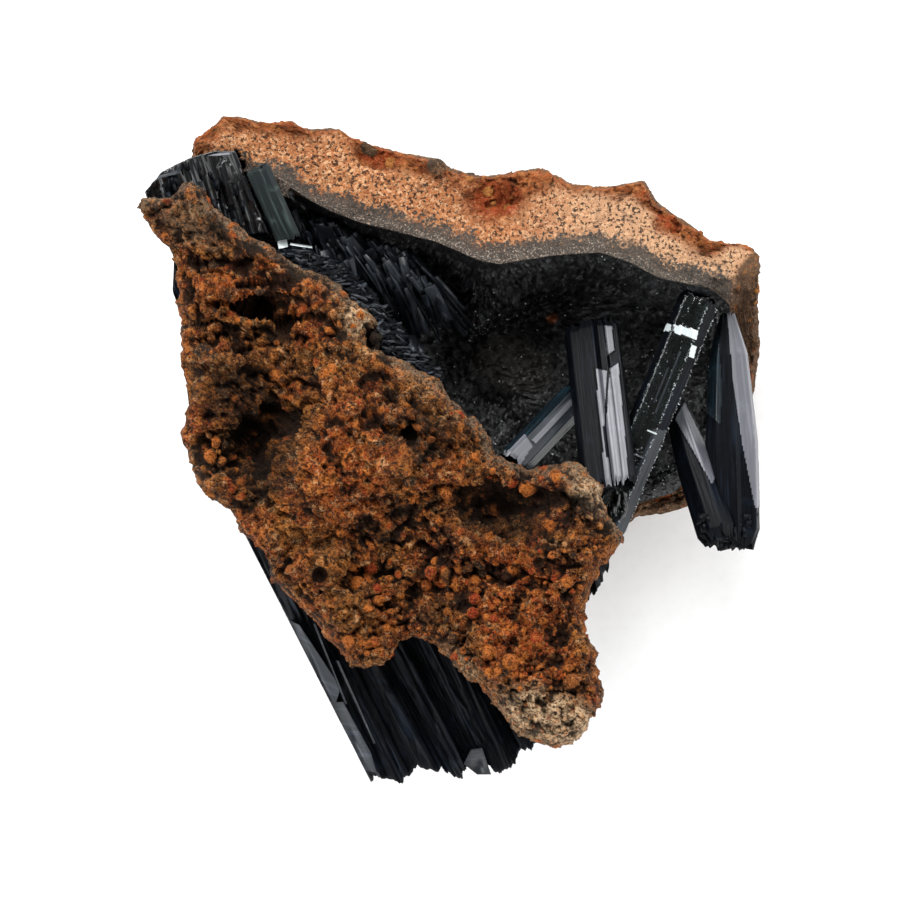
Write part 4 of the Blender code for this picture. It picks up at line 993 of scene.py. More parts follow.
def laths(starts, ends, widths, thicks, seed, finish=0, spread=35):
    """Many six-sided laths: each section is a flattened hexagon carried from start to end.

    Its plane is rolled by up to `spread` degrees, and its free end is cut off aslant.
    """
    chance = np.random.default_rng(seed)
    starts, ends = np.array(starts, float), np.array(ends, float)
    count = len(starts)
    axis = ends - starts
    along = axis / np.linalg.norm(axis, axis=1, keepdims=True)
    side = np.cross(along, (0, 0, 1.0))
    side = side / np.linalg.norm(side, axis=1, keepdims=True)
    up = np.cross(side, along)
    roll = np.radians(chance.uniform(-spread, spread, count))[:, None]
    across, rise = side * np.cos(roll) + up * np.sin(roll), up * np.cos(roll) - side * np.sin(roll)
    angle = np.radians((0, 40, 140, 180, 220, 320))
    half = np.stack([np.cos(angle) * 0.5, np.sin(angle) * 0.78], axis=1)
    ring = (half[None, :, :1] * across[:, None] * np.reshape(widths, (-1, 1, 1))
            + half[None, :, 1:] * rise[:, None] * np.reshape(thicks, (-1, 1, 1)))
    slant = chance.uniform(-0.9, 0.9, (count, 1)) * half[:, 0][None] * np.reshape(widths, (-1, 1))
    near = starts[:, None] + ring
    far = ends[:, None] + ring * 0.9 + slant[..., None] * along[:, None]
    points = np.concatenate([near, far], axis=1).reshape(-1, 3)
    first = (np.arange(count) * 12)[:, None]
    corner = np.arange(6)
    after = np.roll(corner, -1)
    sides = np.stack([corner, after, after + 6, corner + 6], axis=1)
    walls = np.concatenate([first + side for side in sides])
    caps = np.concatenate([first + corner[::-1], first + corner + 6])
    length = np.repeat(np.stack([np.zeros(count), np.linalg.norm(axis, axis=1)], axis=1), 6, axis=1)
    around = np.tile(np.concatenate([corner, corner]) * 0.6, count) + np.repeat(np.arange(count) * 5.3, 12)
    return solid(points, [walls, caps], finish, across=around, along=length.reshape(-1))


def two_tone_laths(starts, ends, widths, thicks, pale, seed, finish, spread):
    """Laths of which the pale ones take the finish after the others'."""
    return [laths(starts[chosen], ends[chosen], widths[chosen], thicks[chosen], seed + k, finish + k, spread)
            for k, chosen in enumerate((~pale, pale))]


def scattered(count, seed, low, high):
    """Random points in a box."""
    return np.random.default_rng(seed).uniform(low, high, (count, len(low)))


def short_laths(starts, lean, widths, thicks, seed, finish=0):
    """Laths from the given points, with a random run, width and thickness within the given limits."""
    count = len(starts)
    ends = starts + scattered(count, seed, *lean)
    wide = scattered(count, seed + 1, widths[:1], widths[1:])
    thick = scattered(count, seed + 2, thicks[:1], thicks[1:])
    return laths(starts, ends, wide, thick, seed + 3, finish)


def frame_of(ends):
    """Start, length and the three directions (along, across, up) of a crystal's axis."""
    start, end = np.array(ends[0], float), np.array(ends[1], float)
    length = np.linalg.norm(end - start)
    along = (end - start) / length
    across = np.cross((0, 0, 1), along)
    across = across / np.linalg.norm(across)
    up = np.cross(across, along)
    return start, length, along, across, up if up[2] > 0 else -up


def prism(ends, section, cuts, seed, layers=(), finish=0, rows=170, cells=14, ragged=(0.5, 0.9)):
    """A crystal: a cross-section carried along an axis, with fine steps along its faces.

    Each side of the section is split into `cells` columns. A column stands out or in by its own
    hundredths of a millimetre, which change where a growth layer stops. Its ends are broken off at
    uneven lengths. Each of `layers` is the outline, seen from above, of a growth layer on the upper
    faces, how far it stands out, and its finish. The rest takes the finish of its side.
    """
    chance = np.random.default_rng(seed)
    start, length, along, across, up = frame_of(ends)
    corners = np.array(section, float)
    following = np.roll(corners, -1, axis=0)
    part = (np.arange(cells) / cells)[None, :, None]
    outline = (corners[:, None] * (1 - part) + following[:, None] * part).reshape(-1, 2)
    run = following - corners
    out = np.stack([run[:, 1], -run[:, 0]], axis=1) / np.linalg.norm(run, axis=1, keepdims=True)
    out = np.repeat(out, cells, axis=0)
    out = out * np.sign((out * outline).sum())
    count = len(outline)
    inner = np.arange(count) % cells != 0
    upper = np.repeat(out[::cells, 1] > 0.05, cells)
    steps = [chance.normal(0, 0.008, count) + 0.04 * (chance.random(count) < 0.1) for _ in range(3)]
    way = np.linspace(0, 1, rows)
    stops = np.sort(chance.uniform(0.05, 0.95, (2, count)), axis=0)
    which = (way[:, None] > stops[0]).astype(int) + (way[:, None] > stops[1])
    offset = np.take_along_axis(np.array(steps), which, axis=0) * inner
    scale = np.interp(way, *np.array(cuts).T)
    flat = outline[None] * scale[:, None, None] + out[None] * offset[..., None]
    fray = np.repeat(chance.uniform(-1, 1, count // 2 + 1), 2)[:count]
    near = np.exp(-way * length / 1.2)[:, None] * ragged[0] * fray
    far = np.exp(-(1 - way) * length / 1.2)[:, None] * ragged[1] * fray[::-1]
    shift = way[:, None] * length + near + far
    points = start + shift[..., None] * along + flat[..., :1] * across + flat[..., 1:] * up
    covered = [inside_outline(points[..., :2], outline) & upper for outline, _, _ in layers]
    for inside, (_, height, _) in zip(covered, layers):
        points = points + (inside * height)[..., None] * (out[:, :1] * across + out[:, 1:] * up)
    row, column = np.divmod(np.arange((rows - 1) * count), count)
    after = (column + 1) % count
    walls = np.stack([row * count + column, row * count + after,
                      (row + 1) * count + after, (row + 1) * count + column], axis=1)
    middles = [points[0].mean(0) - along * ragged[0] * 0.2, points[-1].mean(0) + along * ragged[1] * 0.2]
    hub = rows * count
    ring = np.arange(count)
    first = np.stack([ring, 0 * ring + hub, np.roll(ring, -1)], axis=1)
    last = np.stack([ring + hub - count, np.roll(ring, -1) + hub - count, 0 * ring + hub + 1], axis=1)
    sides = np.broadcast_to(finish, len(corners))
    kind = sides[column // cells]
    for inside, (_, _, chosen) in zip(covered, layers):
        kind = np.where(inside.reshape(-1)[walls].sum(1) > 2, chosen, kind)
    perimeter = np.cumsum(np.linalg.norm(np.roll(outline, -1, axis=0) - outline, axis=1))
    marks = {"across": np.concatenate([np.tile(perimeter, rows), [0, 0]]),
             "along": np.concatenate([np.repeat(way * length, count), [0, length]])}
    return solid(np.concatenate([points.reshape(-1, 3), middles]), [walls, first[:, ::-1], last[:, ::-1]],
                 [kind, sides[0], sides[0]], **marks)


def on_crystal(ends, right, rise, way):
    """Points at the given shares of a crystal's length, to the right of its axis and above it."""
    start, length, along, across, up = frame_of(ends)
    place = np.stack([way * length, right + 0 * way, rise + 0 * way], axis=1)
    return start + place @ np.stack([along, across, up])


def crumbs(centres, sizes, seed, finish=0):
    """Tiny crystals: eight-faced bipyramids, each stretched and turned at random."""
    chance = np.random.default_rng(seed)
    centres = np.array(centres, float)
    count = len(centres)
    tips = np.array([(1, 0, 0), (0, 1, 0), (-1, 0, 0), (0, -1, 0), (0, 0, 1), (0, 0, -1)], float)
    turn, _ = np.linalg.qr(chance.normal(size=(count, 3, 3)))
    stretch = chance.uniform(0.5, 1.2, (count, 1, 3)) * np.reshape(sizes, (-1, 1, 1))
    points = centres[:, None] + (tips[None] * stretch) @ turn
    faces = np.array([(0, 1, 4), (1, 2, 4), (2, 3, 4), (3, 0, 4), (1, 0, 5), (2, 1, 5), (3, 2, 5), (0, 3, 5)])
    flip = np.linalg.det(turn) < 0
    faces = np.where(flip[:, None, None], faces[:, ::-1], faces)
    faces = faces + (np.arange(count) * 6)[:, None, None]
    return solid(points.reshape(-1, 3), [faces.reshape(-1, 3)], finish)


def wall_splinters(chance):
    """Splinters of the larger blades on the hollow's wall: they start along a line and lean down it."""
    way = chance.random(SPLINTERS)
    length = chance.uniform(2.0, 11.0, (SPLINTERS, 1))
    turn = np.radians(-66 + 10 * way + chance.normal(0, 9, SPLINTERS))
    heading = np.stack([np.cos(turn), np.sin(turn)], axis=1)
    starts = along_line(SPLINTER_LINE, way) + heading * chance.uniform(0.0, 8.0, (SPLINTERS, 1))
    starts = np.concatenate([starts, 34.5 - chance.uniform(0, 3, (SPLINTERS, 1))], axis=1)
    fall = chance.uniform(0.35, 0.8, (SPLINTERS, 1))
    ends = starts + np.concatenate([heading, -fall], axis=1) * length
    wide = 0.2 + 1.9 * chance.random(SPLINTERS) ** 2
    thick = chance.uniform(0.25, 0.7, SPLINTERS)
    pale = chance.random(SPLINTERS) < 0.5
    return two_tone_laths(starts, ends, wide, thick, pale, seed=85, finish=1, spread=35)


def make_lower_blades(dull, lined):
    """The blades between the slabs, with loose flakes at their outer side."""
    fan = blade_fan(LOWER_TOPS, LOWER_TIPS, *LOWER_LAYER, columns=16, rows=110, ragged=2.2, shatter=0.5)
    flakes = [plate(*flake) for flake in LOWER_FLAKES]
    piece("lower_blade_fan", "lower_blades", [fan] + flakes, [dull, lined])


def make_corner_block(dark, lined, painted_sheen, dull):
    """The splintered block at the corner, with chips on its top and flakes at its edge."""
    fan = blade_fan(BLOCK_TOPS, BLOCK_TIPS, *BLOCK_LAYER, columns=14, rows=60, ragged=1.0, shatter=0.8)
    starts = scattered(CHIPS, 88, (-46.5, 36.5, 38.9), (-32.5, 46.0, 39.7))
    starts[:, 1] = np.minimum(starts[:, 1], 45.5 - 0.9 * np.maximum(-42.0 - starts[:, 0], 0))
    chips = short_laths(starts, ((0.2, -2.8, -0.5), (0.9, -1.0, 0.1)), widths=(0.3, 1.1),
                        thicks=(0.3, 0.8), seed=89, finish=3)
    flakes = [plate(*flake) for flake in BLOCK_FLAKES]
    piece("corner_block", "upper_block", [fan, chips] + flakes, [dark, lined, painted_sheen, dull])


def fringe_laths():
    """Small laths strewn between the lines of the fringe's tops and tips, most of them aslant to its edge."""
    chance = np.random.default_rng(81)
    way = chance.random(FRINGE_LATHS)
    near = along_line(FRINGE_TOPS, way)
    far = along_line(FRINGE_TIPS, np.clip(way + 0.05, 0, 1))
    edge_way = along_line(FRINGE_TOPS, np.clip(way + 0.02, 0, 1)) - near + (1e-6, -1e-6)
    edge_way = edge_way / np.linalg.norm(edge_way, axis=1, keepdims=True)
    out_way = (far - near) / np.linalg.norm(far - near, axis=1, keepdims=True)
    turn = np.radians(chance.normal(35, 26, FRINGE_LATHS))[:, None]
    heading = edge_way * np.cos(turn) + out_way * np.sin(turn)
    length = chance.uniform(0.6, 2.8, (FRINGE_LATHS, 1))
    share = chance.uniform(0.3, 1.0, (FRINGE_LATHS, 1))
    middle = near + (far - near) * share * (1 - 0.25 * length / 5)
    height = 39.9 - 2.6 * share ** 2 - chance.uniform(0, 0.7, (FRINGE_LATHS, 1))
    starts = np.concatenate([middle - heading * length * 0.45, height], axis=1)
    ends = np.concatenate([middle + heading * length * 0.55, height - 0.12 * length], axis=1)
    wide = chance.uniform(0.15, 0.7, FRINGE_LATHS)
    thick = chance.uniform(0.15, 0.45, FRINGE_LATHS)
    pale = chance.random(FRINGE_LATHS) < 0.3
    return two_tone_laths(starts, ends, wide, thick, pale, seed=82, finish=0, spread=28)


def make_edge_fringe(dull, lined, painted_glint):
    """The fringe along the front slab's edge: a fan, laths strewn over it, and a few flakes, some near white
    as painted glints.
    """
    fan = blade_fan(FRINGE_TOPS, FRINGE_TIPS, *FRINGE_LAYER, columns=14, rows=30, ragged=1.4)
    flakes = [plate(*flake) for flake in FRINGE_FLAKES]
    piece("edge_fringe", "fringe_blades", [fan] + fringe_laths() + flakes,
          [dull, lined, painted_glint])


def make_cleaved_flake(cleaved):
    """The fibrous blade beside the block."""
    flake = prism(CLEAVED_ENDS, CLEAVED_SECTION, BROKEN_ENDS, seed=91, ragged=(0.3, 0.4))
    piece("cleaved_flake", "cleaved_blade", [flake], [cleaved])


def make_short_crystal(dark, dull, painted_sheen, lined, blue):
    """The short prism across the hollow."""
    short = prism(SHORT_ENDS, SHORT_SECTION, BROKEN_ENDS, seed=92, layers=SHORT_LAYERS,
                  finish=(4, 3, 4, 1, 1, 1))
    piece("short_crystal", "short_prism", [short], [dark, dull, painted_sheen, lined, blue])


def make_paired_crystals(dark, dull, painted_sheen):
    """Two prisms grown together, torn off at the lower end."""
    pair = prism(PAIR_ENDS, PAIR_SECTION, BROKEN_ENDS, seed=93, layers=PAIR_LAYERS, finish=1)
    starts = scattered(TORN_LATHS, 104, (25.6, -9.5, 31.5), (28.0, -6.0, 35.5))
    torn = short_laths(starts, ((-0.6, -2.4, -0.8), (0.9, -1.0, 0.4)), widths=(0.8, 1.8),
                       thicks=(0.6, 1.2), seed=105)
    piece("paired_crystals", "prism_pair", [pair, torn], [dark, dull, painted_sheen])


def make_clear_crystal(clear, painted_glint, painted_sheen, dull, lined):
    """The long see-through prism, with tiny crystals along its edges and on its upper face, near white as
    painted glints.
    """
    chance = np.random.default_rng(97)
    edges = [on_crystal(LONG_ENDS, *LONG_SECTION[corner], chance.uniform(0.02, 0.97, 420))
             for corner in (1, 2, 3)]
    inner = [on_crystal(LONG_ENDS, chance.uniform(-2.0, 1.4, 190), 1.8, chance.uniform(0.63, 0.86, 190)),
             on_crystal(LONG_ENDS, chance.uniform(-1.8, 1.2, 60), 1.8, chance.uniform(0.05, 0.6, 60))]
    spots = np.concatenate(edges + inner)
    spots = spots + chance.normal(0, 0.1, spots.shape)
    long = prism(LONG_ENDS, LONG_SECTION, BROKEN_ENDS, seed=94, layers=LONG_LAYERS,
                 finish=(3, 0, 3, 3, 0, 0, 0))
    # The crumbs take the near white finish: painted glints.
    glitter = crumbs(spots, 0.03 + 0.11 * chance.random(len(spots)) ** 2, seed=98, finish=1)
    piece("clear_crystal", "long_prism", [long, glitter],
          [clear, painted_glint, painted_sheen, dull, lined])


def make_right_crystals(dark, dull, painted_sheen, blue):
    """Two crossed prisms grown together, with stubs of broken blades at their foot."""
    right = prism(RIGHT_ENDS, RIGHT_SECTION, RIGHT_TAPER, seed=95, layers=RIGHT_LAYERS, finish=1)
    cross = prism(CROSS_ENDS, CROSS_SECTION, CROSS_TAPER, seed=96, layers=CROSS_LAYERS, finish=1)
    starts = scattered(STUBS, 99, (40.3, -13.6, 27.5), (48.6, -9.5, 31.5))
    starts[:, 2] += 1.5 * (starts[:, 0] < 44)
    stubs = short_laths(starts, ((-0.6, -1.8, -0.8), (0.6, -0.4, 0.6)), widths=(0.6, 1.8),
                        thicks=(0.6, 1.4), seed=100, finish=1)
    piece("right_crystals", "right_prisms", [right, cross, stubs],
          [dark, dull, painted_sheen, blue])


# ---------------------------------------------------------------- finishes

VIVIANITE_IOR = 1.6             # within the range of vivianite itself, 1.58 to 1.68
NOISE_ROUGHNESS = 0.62          # share of its finer waves in all the noise, as on broken rock


def srgb(code):
    """Linear colour of an sRGB hex code."""
    value = np.array([int(code[k:k + 2], 16) / 255 for k in (1, 3, 5)])
    linear = np.where(value <= 0.04045, value / 12.92, ((value + 0.055) / 1.055) ** 2.4)
    return (*linear.tolist(), 1.0)


def connect(tree, made, sockets):
    """Sets a node's sockets, and links those whose value is another node's socket."""
    for name, value in dict(sockets).items():
        if isinstance(value, bpy.types.NodeSocket):
            tree.links.new(value, made.inputs[name])
        else:
            made.inputs[name].default_value = value


def node(tree, kind, sockets=(), **settings):
    """Adds a node, sets its properties, and sets or links its sockets."""
    made = tree.nodes.new(kind)
    for name, value in settings.items():
        setattr(made, name, value)
    connect(tree, made, sockets)
    return made


def new_finish(name):
    """An empty material, with its tree and its Principled shader."""
    material = bpy.data.materials.new(name)
    material.use_nodes = True
    tree = material.node_tree
    return material, tree, tree.nodes["Principled BSDF"]


def layered(tree, colour, layers):
    """A colour with others laid over it.

    Each covers up to its share of what is below, as its source goes from `low` to `high`.
    """
    for source, low, high, code, share in layers:
        mask = node(tree, "ShaderNodeMapRange",
                    {"Value": source, "From Min": low, "From Max": high, "To Max": share},
                    interpolation_type="SMOOTHSTEP").outputs["Result"]
        colour = node(tree, "ShaderNodeMix", {0: mask, 6: colour, 7: srgb(code)},
                      data_type="RGBA").outputs[2]
    return colour


def per_metre(size_mm):
    """Texture scale whose features are about this size: that many of them in a metre."""
    return 1000 / size_mm


def readings(tree, sizes, marks):
    """What a finish reads: its place on the specimen, noise in several sizes, and the mesh's marks.

    The sizes are those of the noise's features in millimetres.
    """
    place = node(tree, "ShaderNodeTexCoord").outputs["Object"]
    noise = [node(tree, "ShaderNodeTexNoise", {
        "Vector": place, "Scale": per_metre(size), "Detail": 4, "Roughness": NOISE_ROUGHNESS}).outputs["Fac"]
             for size in sizes]
    mark = {name: node(tree, "ShaderNodeAttribute", attribute_name=name).outputs["Fac"] for name in marks}
    return place, noise, mark


def packed_grains(tree, place, size):
    """Distance from the middle of the nearest grain, and that grain's random number."""
    cells = node(tree, "ShaderNodeTexVoronoi", {"Vector": place, "Scale": per_metre(size)})
    number = node(tree, "ShaderNodeSeparateColor", {"Color": cells.outputs["Color"]}).outputs["Red"]
    return cells.outputs["Distance"], number


def finish_stone(tree, shader, colour, grain, noise):
    """Colour, matt gloss and a gritty relief: rounded grains with finer grit over them."""
    bump = node(tree, "ShaderNodeBump", {
        "Height": grain, "Strength": 0.8, "Distance": 0.2 * MM}, invert=True).outputs["Normal"]
    finer = node(tree, "ShaderNodeBump", {
        "Height": noise, "Strength": 1.0, "Distance": 0.3 * MM, "Normal": bump}).outputs["Normal"]
    connect(tree, shader, {
        "Base Color": colour, "Normal": finer, "Roughness": 0.9, "Specular IOR Level": 0.15})


def weathered_ironstone():
    """Oolitic ironstone under a limonite skin: matt and earthy, ochre, with painted shade darkening its
    hollows.
    """
    material, tree, shader = new_finish("weathered_limonite")
    place, noise, mark = readings(tree, (8.0, 2.6, 1.5, 0.9, 0.3),
                                  ("hollow", "ball", "tint", "pale", "grey", "rust", "umber"))
    broad, patchy, middle, fine, grit = noise
    grain, number = packed_grains(tree, place, 0.6)
    # Here and below, the dark brown patch layers are partly stain and partly painted shade over the recesses.
    ground = layered(tree, srgb("#6B421D"), (
        (broad, 0.42, 0.60, "#742F0E", 0.9), (mark["rust"], 0.2, 1.0, "#86390F", 0.9),
        (mark["umber"], 0.2, 1.2, "#2C1C0D", 0.9), (patchy, 0.52, 0.60, "#A8672C", 0.5),
        (patchy, 0.46, 0.38, "#2C1B0D", 0.6), (middle, 0.55, 0.63, "#BC9469", 0.5),
        (mark["grey"], 0.25, 0.9, "#5E5547", 0.8), (mark["pale"], 0.3, 0.9, "#7F6B53", 0.8),
        (mark["pale"], 0.8, 1.2, "#C0A381", 0.85), (fine, 0.51, 0.57, "#1C110A", 0.8)))
    balls = layered(tree, srgb("#2B2119"), (
        (mark["tint"], 0.15, 0.45, "#96521F", 1), (mark["tint"], 0.7, 0.95, "#7C2C12", 1)))
    mixed = node(tree, "ShaderNodeMix", {0: mark["ball"], 6: ground, 7: balls}, data_type="RGBA").outputs[2]
    # The last layer here paints shade, near black, into recesses and sockets.
    grainy = layered(tree, mixed, (
        (number, 0.7, 0.95, "#A5662A", 0.35), (number, 0.3, 0.05, "#150D07", 0.6),
        (grit, 0.56, 0.66, "#B0713A", 0.55), (grit, 0.66, 0.74, "#D8B18A", 0.4),
        (grit, 0.47, 0.38, "#150D07", 0.9), (mark["umber"], 0.3, 1.0, "#20140A", 0.5),
        (mark["hollow"], 0.15, 0.8, "#0F0804", 0.92)))
    finish_stone(tree, shader, grainy, grain, grit)
    return material


def broken_ironstone():
    """The same stone freshly broken: packed orange ooids in black cement, grey next to the hollow."""
    material, tree, shader = new_finish("broken_oolite")
    place, noise, mark = readings(tree, (9.0, 2.4, 0.8, 0.28),
                                  ("raw", "grey", "side", "dry", "pit", "ball", "tint", "hollow"))
    broad, patchy, fine, grit = noise
    speck = node(tree, "ShaderNodeTexNoise", {
        "Vector": place, "Scale": per_metre(0.55), "Detail": 2, "Roughness": NOISE_ROUGHNESS}).outputs["Fac"]
    grain, number = packed_grains(tree, place, 0.42)
    # One layer below makes the ooids paler towards +X.
    ooids = layered(tree, srgb("#AA724A"), (
        (broad, 0.45, 0.62, "#975F3B", 0.7), (number, 0.6, 0.95, "#CCA27C", 0.7),
        (number, 0.2, 0.1, "#8C4F2C", 0.7), (mark["dry"], 0.0, 1.0, "#C6A584", 0.5),
        (speck, 0.535, 0.59, "#1F1A18", 0.9), (patchy, 0.56, 0.7, "#54443A", 0.5)))
    speckled = node(tree, "ShaderNodeMath", {0: speck, 1: 1.6, 2: mark["grey"]},
                    operation="MULTIPLY_ADD").outputs[0]
    fleck = node(tree, "ShaderNodeMath", {0: mark["grey"], 1: grit}, operation="MULTIPLY").outputs[0]
    greyed = layered(tree, ooids, (
        (speckled, 1.05, 1.45, "#403E3B", 0.93), (fleck, 0.50, 0.62, "#8F8A82", 0.8)))
    ground = layered(tree, srgb("#8A4C28"), (
        (broad, 0.42, 0.6, "#6F3518", 0.8), (patchy, 0.5, 0.66, "#A4683A", 0.8),
        (fine, 0.54, 0.66, "#3D291B", 0.8), (mark["pit"], 0.3, 0.9, "#86391A", 0.85),
        (mark["side"], 0.1, 0.6, "#524436", 0.85)))
    balls = layered(tree, srgb("#3A2D22"), (
        (mark["tint"], 0.15, 0.45, "#97612F", 1), (mark["tint"], 0.7, 0.95, "#8A371B", 1)))
    ground = node(tree, "ShaderNodeMix", {0: mark["ball"], 6: ground, 7: balls}, data_type="RGBA").outputs[2]
    mixed = node(tree, "ShaderNodeMix", {0: mark["raw"], 6: greyed, 7: ground}, data_type="RGBA").outputs[2]
    # The last layer here paints shade into the low relief and sockets.
    grainy = layered(tree, mixed, (
        (grit, 0.58, 0.72, "#D3A677", 0.6), (grit, 0.44, 0.32, "#2A1C12", 0.6),
        (mark["hollow"], 0.35, 1.1, "#21160F", 0.85)))
    finish_stone(tree, shader, grainy, grain, grit)
    return material


def drusy_vivianite():
    """Crust of tiny vivianite crystals: near black, each face a small mirror, dusty in places.

    The faces are cells of 0.34 mm. Each leans by its own random vector, which is added to the normal.
    """
    material, tree, shader = new_finish("vivianite_druse")
    place, noise, mark = readings(tree, (4.0, 0.9, 0.25), ("stain", "dust"))
    patchy, fine, grit = noise
    dusty = node(tree, "ShaderNodeMath", {0: mark["dust"], 1: grit}, operation="MULTIPLY").outputs[0]
    stained = node(tree, "ShaderNodeMath", {0: mark["stain"], 1: fine}, operation="MULTIPLY").outputs[0]
    colour = layered(tree, srgb("#0B0C0D"), (
        (patchy, 0.5, 0.7, "#15171A", 1), (grit, 0.58, 0.70, "#2A2926", 0.8),
        (dusty, 0.42, 0.62, "#372F26", 0.8), (stained, 0.25, 0.5, "#8A4A22", 0.9)))
    cells = node(tree, "ShaderNodeTexVoronoi", {"Vector": place, "Scale": per_metre(0.34)})
    lean = node(tree, "ShaderNodeVectorMath", {0: cells.outputs["Color"], 1: (-0.5, -0.5, -0.5)},
                operation="ADD").outputs[0]
    lean = node(tree, "ShaderNodeVectorMath", {0: lean, "Scale": 0.7}, operation="SCALE").outputs[0]
    surface = node(tree, "ShaderNodeNewGeometry").outputs["Normal"]
    normal = node(tree, "ShaderNodeVectorMath", {0: surface, 1: lean}, operation="ADD").outputs[0]
    normal = node(tree, "ShaderNodeVectorMath", {0: normal}, operation="NORMALIZE").outputs[0]
    rough = node(tree, "ShaderNodeMapRange", {
        "Value": fine, "From Min": 0.35, "From Max": 0.65, "To Min": 0.3, "To Max": 0.7}).outputs["Result"]
    connect(tree, shader, {
        "Base Color": colour, "Normal": normal, "Roughness": rough, "IOR": VIVIANITE_IOR,
        "Specular IOR Level": 0.3})
    return material


def striated(name, dark, light, gloss, line_mm, depth_mm, gleam=()):
    """A crystal face: fine lines along the crystal in colour, gloss and relief.

    The lines are noise drawn out along the mesh's own marks: `line_mm` wide and 7 mm long. Real ones
    are finer, and these are as coarse as they need to be to show. `gloss` is the least and the
    greatest roughness, and `gleam` holds the shader's other constants.
    """
    material, tree, shader = new_finish(name)
    cloud, mark = readings(tree, (3.0,), ("across", "along"))[1:]
    flat = node(tree, "ShaderNodeCombineXYZ", {"X": mark["across"], "Y": mark["along"]}).outputs[0]
    drawn = []
    for wide, long in ((line_mm, 7.0), (0.7, 12.0)):
        along = node(tree, "ShaderNodeMapping", {"Vector": flat, "Scale": (1 / wide, 1 / long, 1)}).outputs[0]
        noise = node(tree, "ShaderNodeTexNoise", {"Vector": along, "Scale": 1.0, "Detail": 3})
        drawn.append(noise.outputs["Fac"])
    lines, bands = drawn
    colour = layered(tree, srgb(dark), ((bands, 0.52, 0.7, light, 0.8), (cloud[0], 0.55, 0.75, light, 0.7)))
    rough = node(tree, "ShaderNodeMapRange", {
        "Value": lines, "From Min": 0.4, "From Max": 0.7, "To Min": gloss[0], "To Max": gloss[1]})
    bump = node(tree, "ShaderNodeBump", {"Height": lines, "Strength": 1.0, "Distance": depth_mm * MM})
    connect(tree, shader, {
        "Base Color": colour, "Roughness": rough.outputs["Result"], "Normal": bump.outputs["Normal"],
        "IOR": VIVIANITE_IOR})
    connect(tree, shader, gleam)
    return material


def dark_vivianite():
    """Vivianite crystals: glassy, near black with a blue cast, finely lined along the crystal."""
    return striated("vivianite_crystal", "#06080A", "#10161B", (0.2, 0.42), 0.16, 0.012)


def dull_vivianite():
    """Broken massive vivianite: black, splintery and half dull, so that little light comes back."""
    return striated("vivianite_splintered", "#05070B", "#121923", (0.3, 0.6), 0.16, 0.05,
                    {"Specular IOR Level": 0.07})


def lined_vivianite():
    """Side of a vivianite blade, closely striated along it: its steel grey with a blue cast is partly the
    blade's colour and partly a painted reflection of the light.
    """
    return striated("vivianite_side", "#1E2227", "#363C45", (0.3, 0.5), 0.25, 0.02,
                    {"Specular IOR Level": 0.25})


def blue_vivianite():
    """Thin blade edge of vivianite, where light comes through: deep greenish blue and glassy."""
    return striated("vivianite_blue", "#0D171D", "#1E3440", (0.15, 0.35), 0.2, 0.02)


def painted_sheen_vivianite():
    """Cleavage face of vivianite over a dark body, faintly striated: its grey colour is a painted reflection,
    the silvery lustre of the light on it, and its coat adds real gloss.
    """
    return striated("vivianite_cleavage_painted_sheen", "#55565D", "#6C6E76", (0.4, 0.55), 0.3, 0.005,
                    {"Coat Weight": 0.15, "Coat Roughness": 0.35})


def painted_glint_vivianite():
    """Freshly split flake with a pearly gloss; its almost white colour is a painted glint of the light."""
    return striated("vivianite_flake_painted_glint", "#B9C2C4", "#DCE4E6", (0.15, 0.3), 0.3, 0.008,
                    {"Coat Weight": 0.6, "Coat Roughness": 0.1})


def cleaved_vivianite():
    """Split vivianite: fibrous, grey-green and half dull, paler where layers lifted."""
    return striated("vivianite_fibres", "#141B1D", "#43524D", (0.4, 0.7), 0.22, 0.05,
                    {"Specular IOR Level": 0.2})


def clear_vivianite():
    """Clean vivianite crystal: glassy and see-through, with a deep blue-green body colour."""
    material = striated("vivianite_clear", "#FFFFFF", "#E8F4F2", (0.03, 0.14), 0.2, 0.015,
                        {"Transmission Weight": 1.0})
    tree = material.node_tree
    inside = node(tree, "ShaderNodeVolumeAbsorption", {"Color": srgb("#3F7F78"), "Density": 380.0})
    connect(tree, tree.nodes["Material Output"], {"Volume": inside.outputs[0]})
    return material


# ---------------------------------------------------------------- stage, light and camera

def add_stage():
    """A pale floor under the specimen."""
    mesh = bpy.data.meshes.new("floor")
    corners = [(x * FLOOR_REACH, y * FLOOR_REACH, 0) for x, y in ((-1, -1), (1, -1), (1, 1), (-1, 1))]
    mesh.from_pydata(corners, [], [(0, 1, 2, 3)])
    floor = bpy.data.objects.new("floor", mesh)
    bpy.context.scene.collection.objects.link(floor)
    material, tree, shader = new_finish("white_card")
    place = node(tree, "ShaderNodeTexCoord").outputs["Object"]
    grain = node(tree, "ShaderNodeTexNoise", {"Vector": place, "Scale": per_metre(2.0)}).outputs["Fac"]
    colour = layered(tree, srgb("#FCFCFC"), ((grain, 0.4, 0.8, "#F8F8F8", 1),))
    connect(tree, shader, {"Base Color": colour, "Roughness": 0.9, "Specular IOR Level": 0.1})
    mesh.materials.append(material)


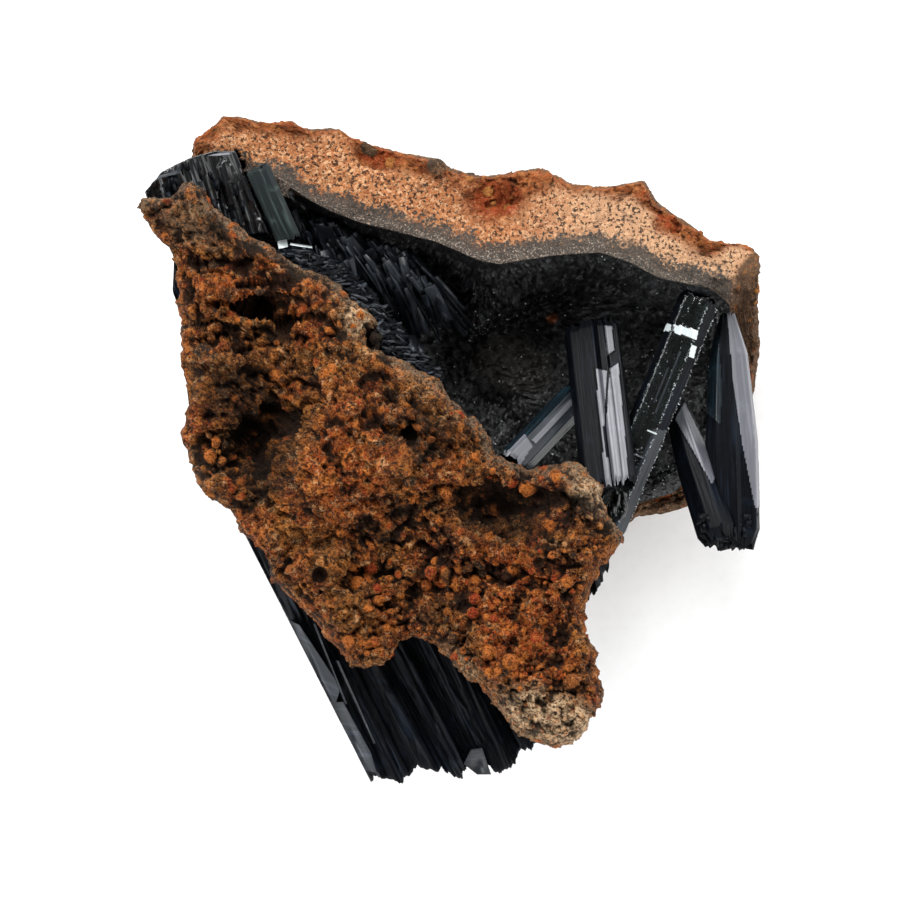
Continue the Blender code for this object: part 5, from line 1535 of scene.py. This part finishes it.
def add_softbox(name, bearing, elevation, distance, size, power):
    """An area light at a bearing and elevation, turned to face the specimen at the height LIGHT_AIM."""
    light = bpy.data.lights.new(name, "AREA")
    light.shape = "RECTANGLE"
    light.size, light.size_y = size
    light.energy = power
    lamp = bpy.data.objects.new(name, light)
    bpy.context.scene.collection.objects.link(lamp)
    turn, rise = np.radians(bearing), np.radians(elevation)
    lamp.location = (distance * np.cos(turn) * np.cos(rise), distance * np.sin(turn) * np.cos(rise),
                     distance * np.sin(rise) + LIGHT_AIM * MM)
    lamp.rotation_euler = (np.pi / 2 - rise, 0, turn + np.pi / 2)


def add_world():
    """Soft light from all round, dark overhead so that level crystal faces stay black."""
    world = bpy.data.worlds.new("studio")
    bpy.context.scene.world = world
    world.use_nodes = True
    tree = world.node_tree
    towards = node(tree, "ShaderNodeTexCoord").outputs["Generated"]
    height = node(tree, "ShaderNodeSeparateXYZ", {0: towards}).outputs["Z"]
    strength = node(tree, "ShaderNodeMapRange", {
        "Value": height, "From Min": 0.5, "From Max": 0.93, "To Min": 2.5, "To Max": 0.14},
                    interpolation_type="SMOOTHSTEP").outputs["Result"]
    connect(tree, tree.nodes["Background"], {"Color": (1, 1, 1, 1), "Strength": strength})


def add_camera():
    """Camera straight above the middle of the drawn outlines."""
    camera = bpy.data.cameras.new("camera")
    camera.lens = CAMERA_LENS
    camera.sensor_width = CAMERA_SENSOR
    thing = bpy.data.objects.new("camera", camera)
    thing.location = (SHIFT[0] * MM, SHIFT[1] * MM, CAMERA_HEIGHT * MM)
    bpy.context.scene.collection.objects.link(thing)
    bpy.context.scene.camera = thing


add_camera()
dark = dark_vivianite()
dull = dull_vivianite()
lined = lined_vivianite()
blue = blue_vivianite()
painted_sheen = painted_sheen_vivianite()
painted_glint = painted_glint_vivianite()
make_weathered_slab(weathered_ironstone())
make_broken_slab(broken_ironstone())
make_crystal_lining(drusy_vivianite(), dull, lined, painted_glint)
make_lower_blades(dull, lined)
make_corner_block(dark, lined, painted_sheen, dull)
make_edge_fringe(dull, lined, painted_glint)
make_cleaved_flake(cleaved_vivianite())
make_short_crystal(dark, dull, painted_sheen, lined, blue)
make_paired_crystals(dark, dull, painted_sheen)
make_clear_crystal(clear_vivianite(), painted_glint, painted_sheen, dull, lined)
make_right_crystals(dark, dull, painted_sheen, blue)
add_stage()
add_world()
add_softbox("key", *KEY_LIGHT)
add_softbox("left_fill", *LEFT_LIGHT)
bpy.context.scene.view_settings.view_transform = "Standard"
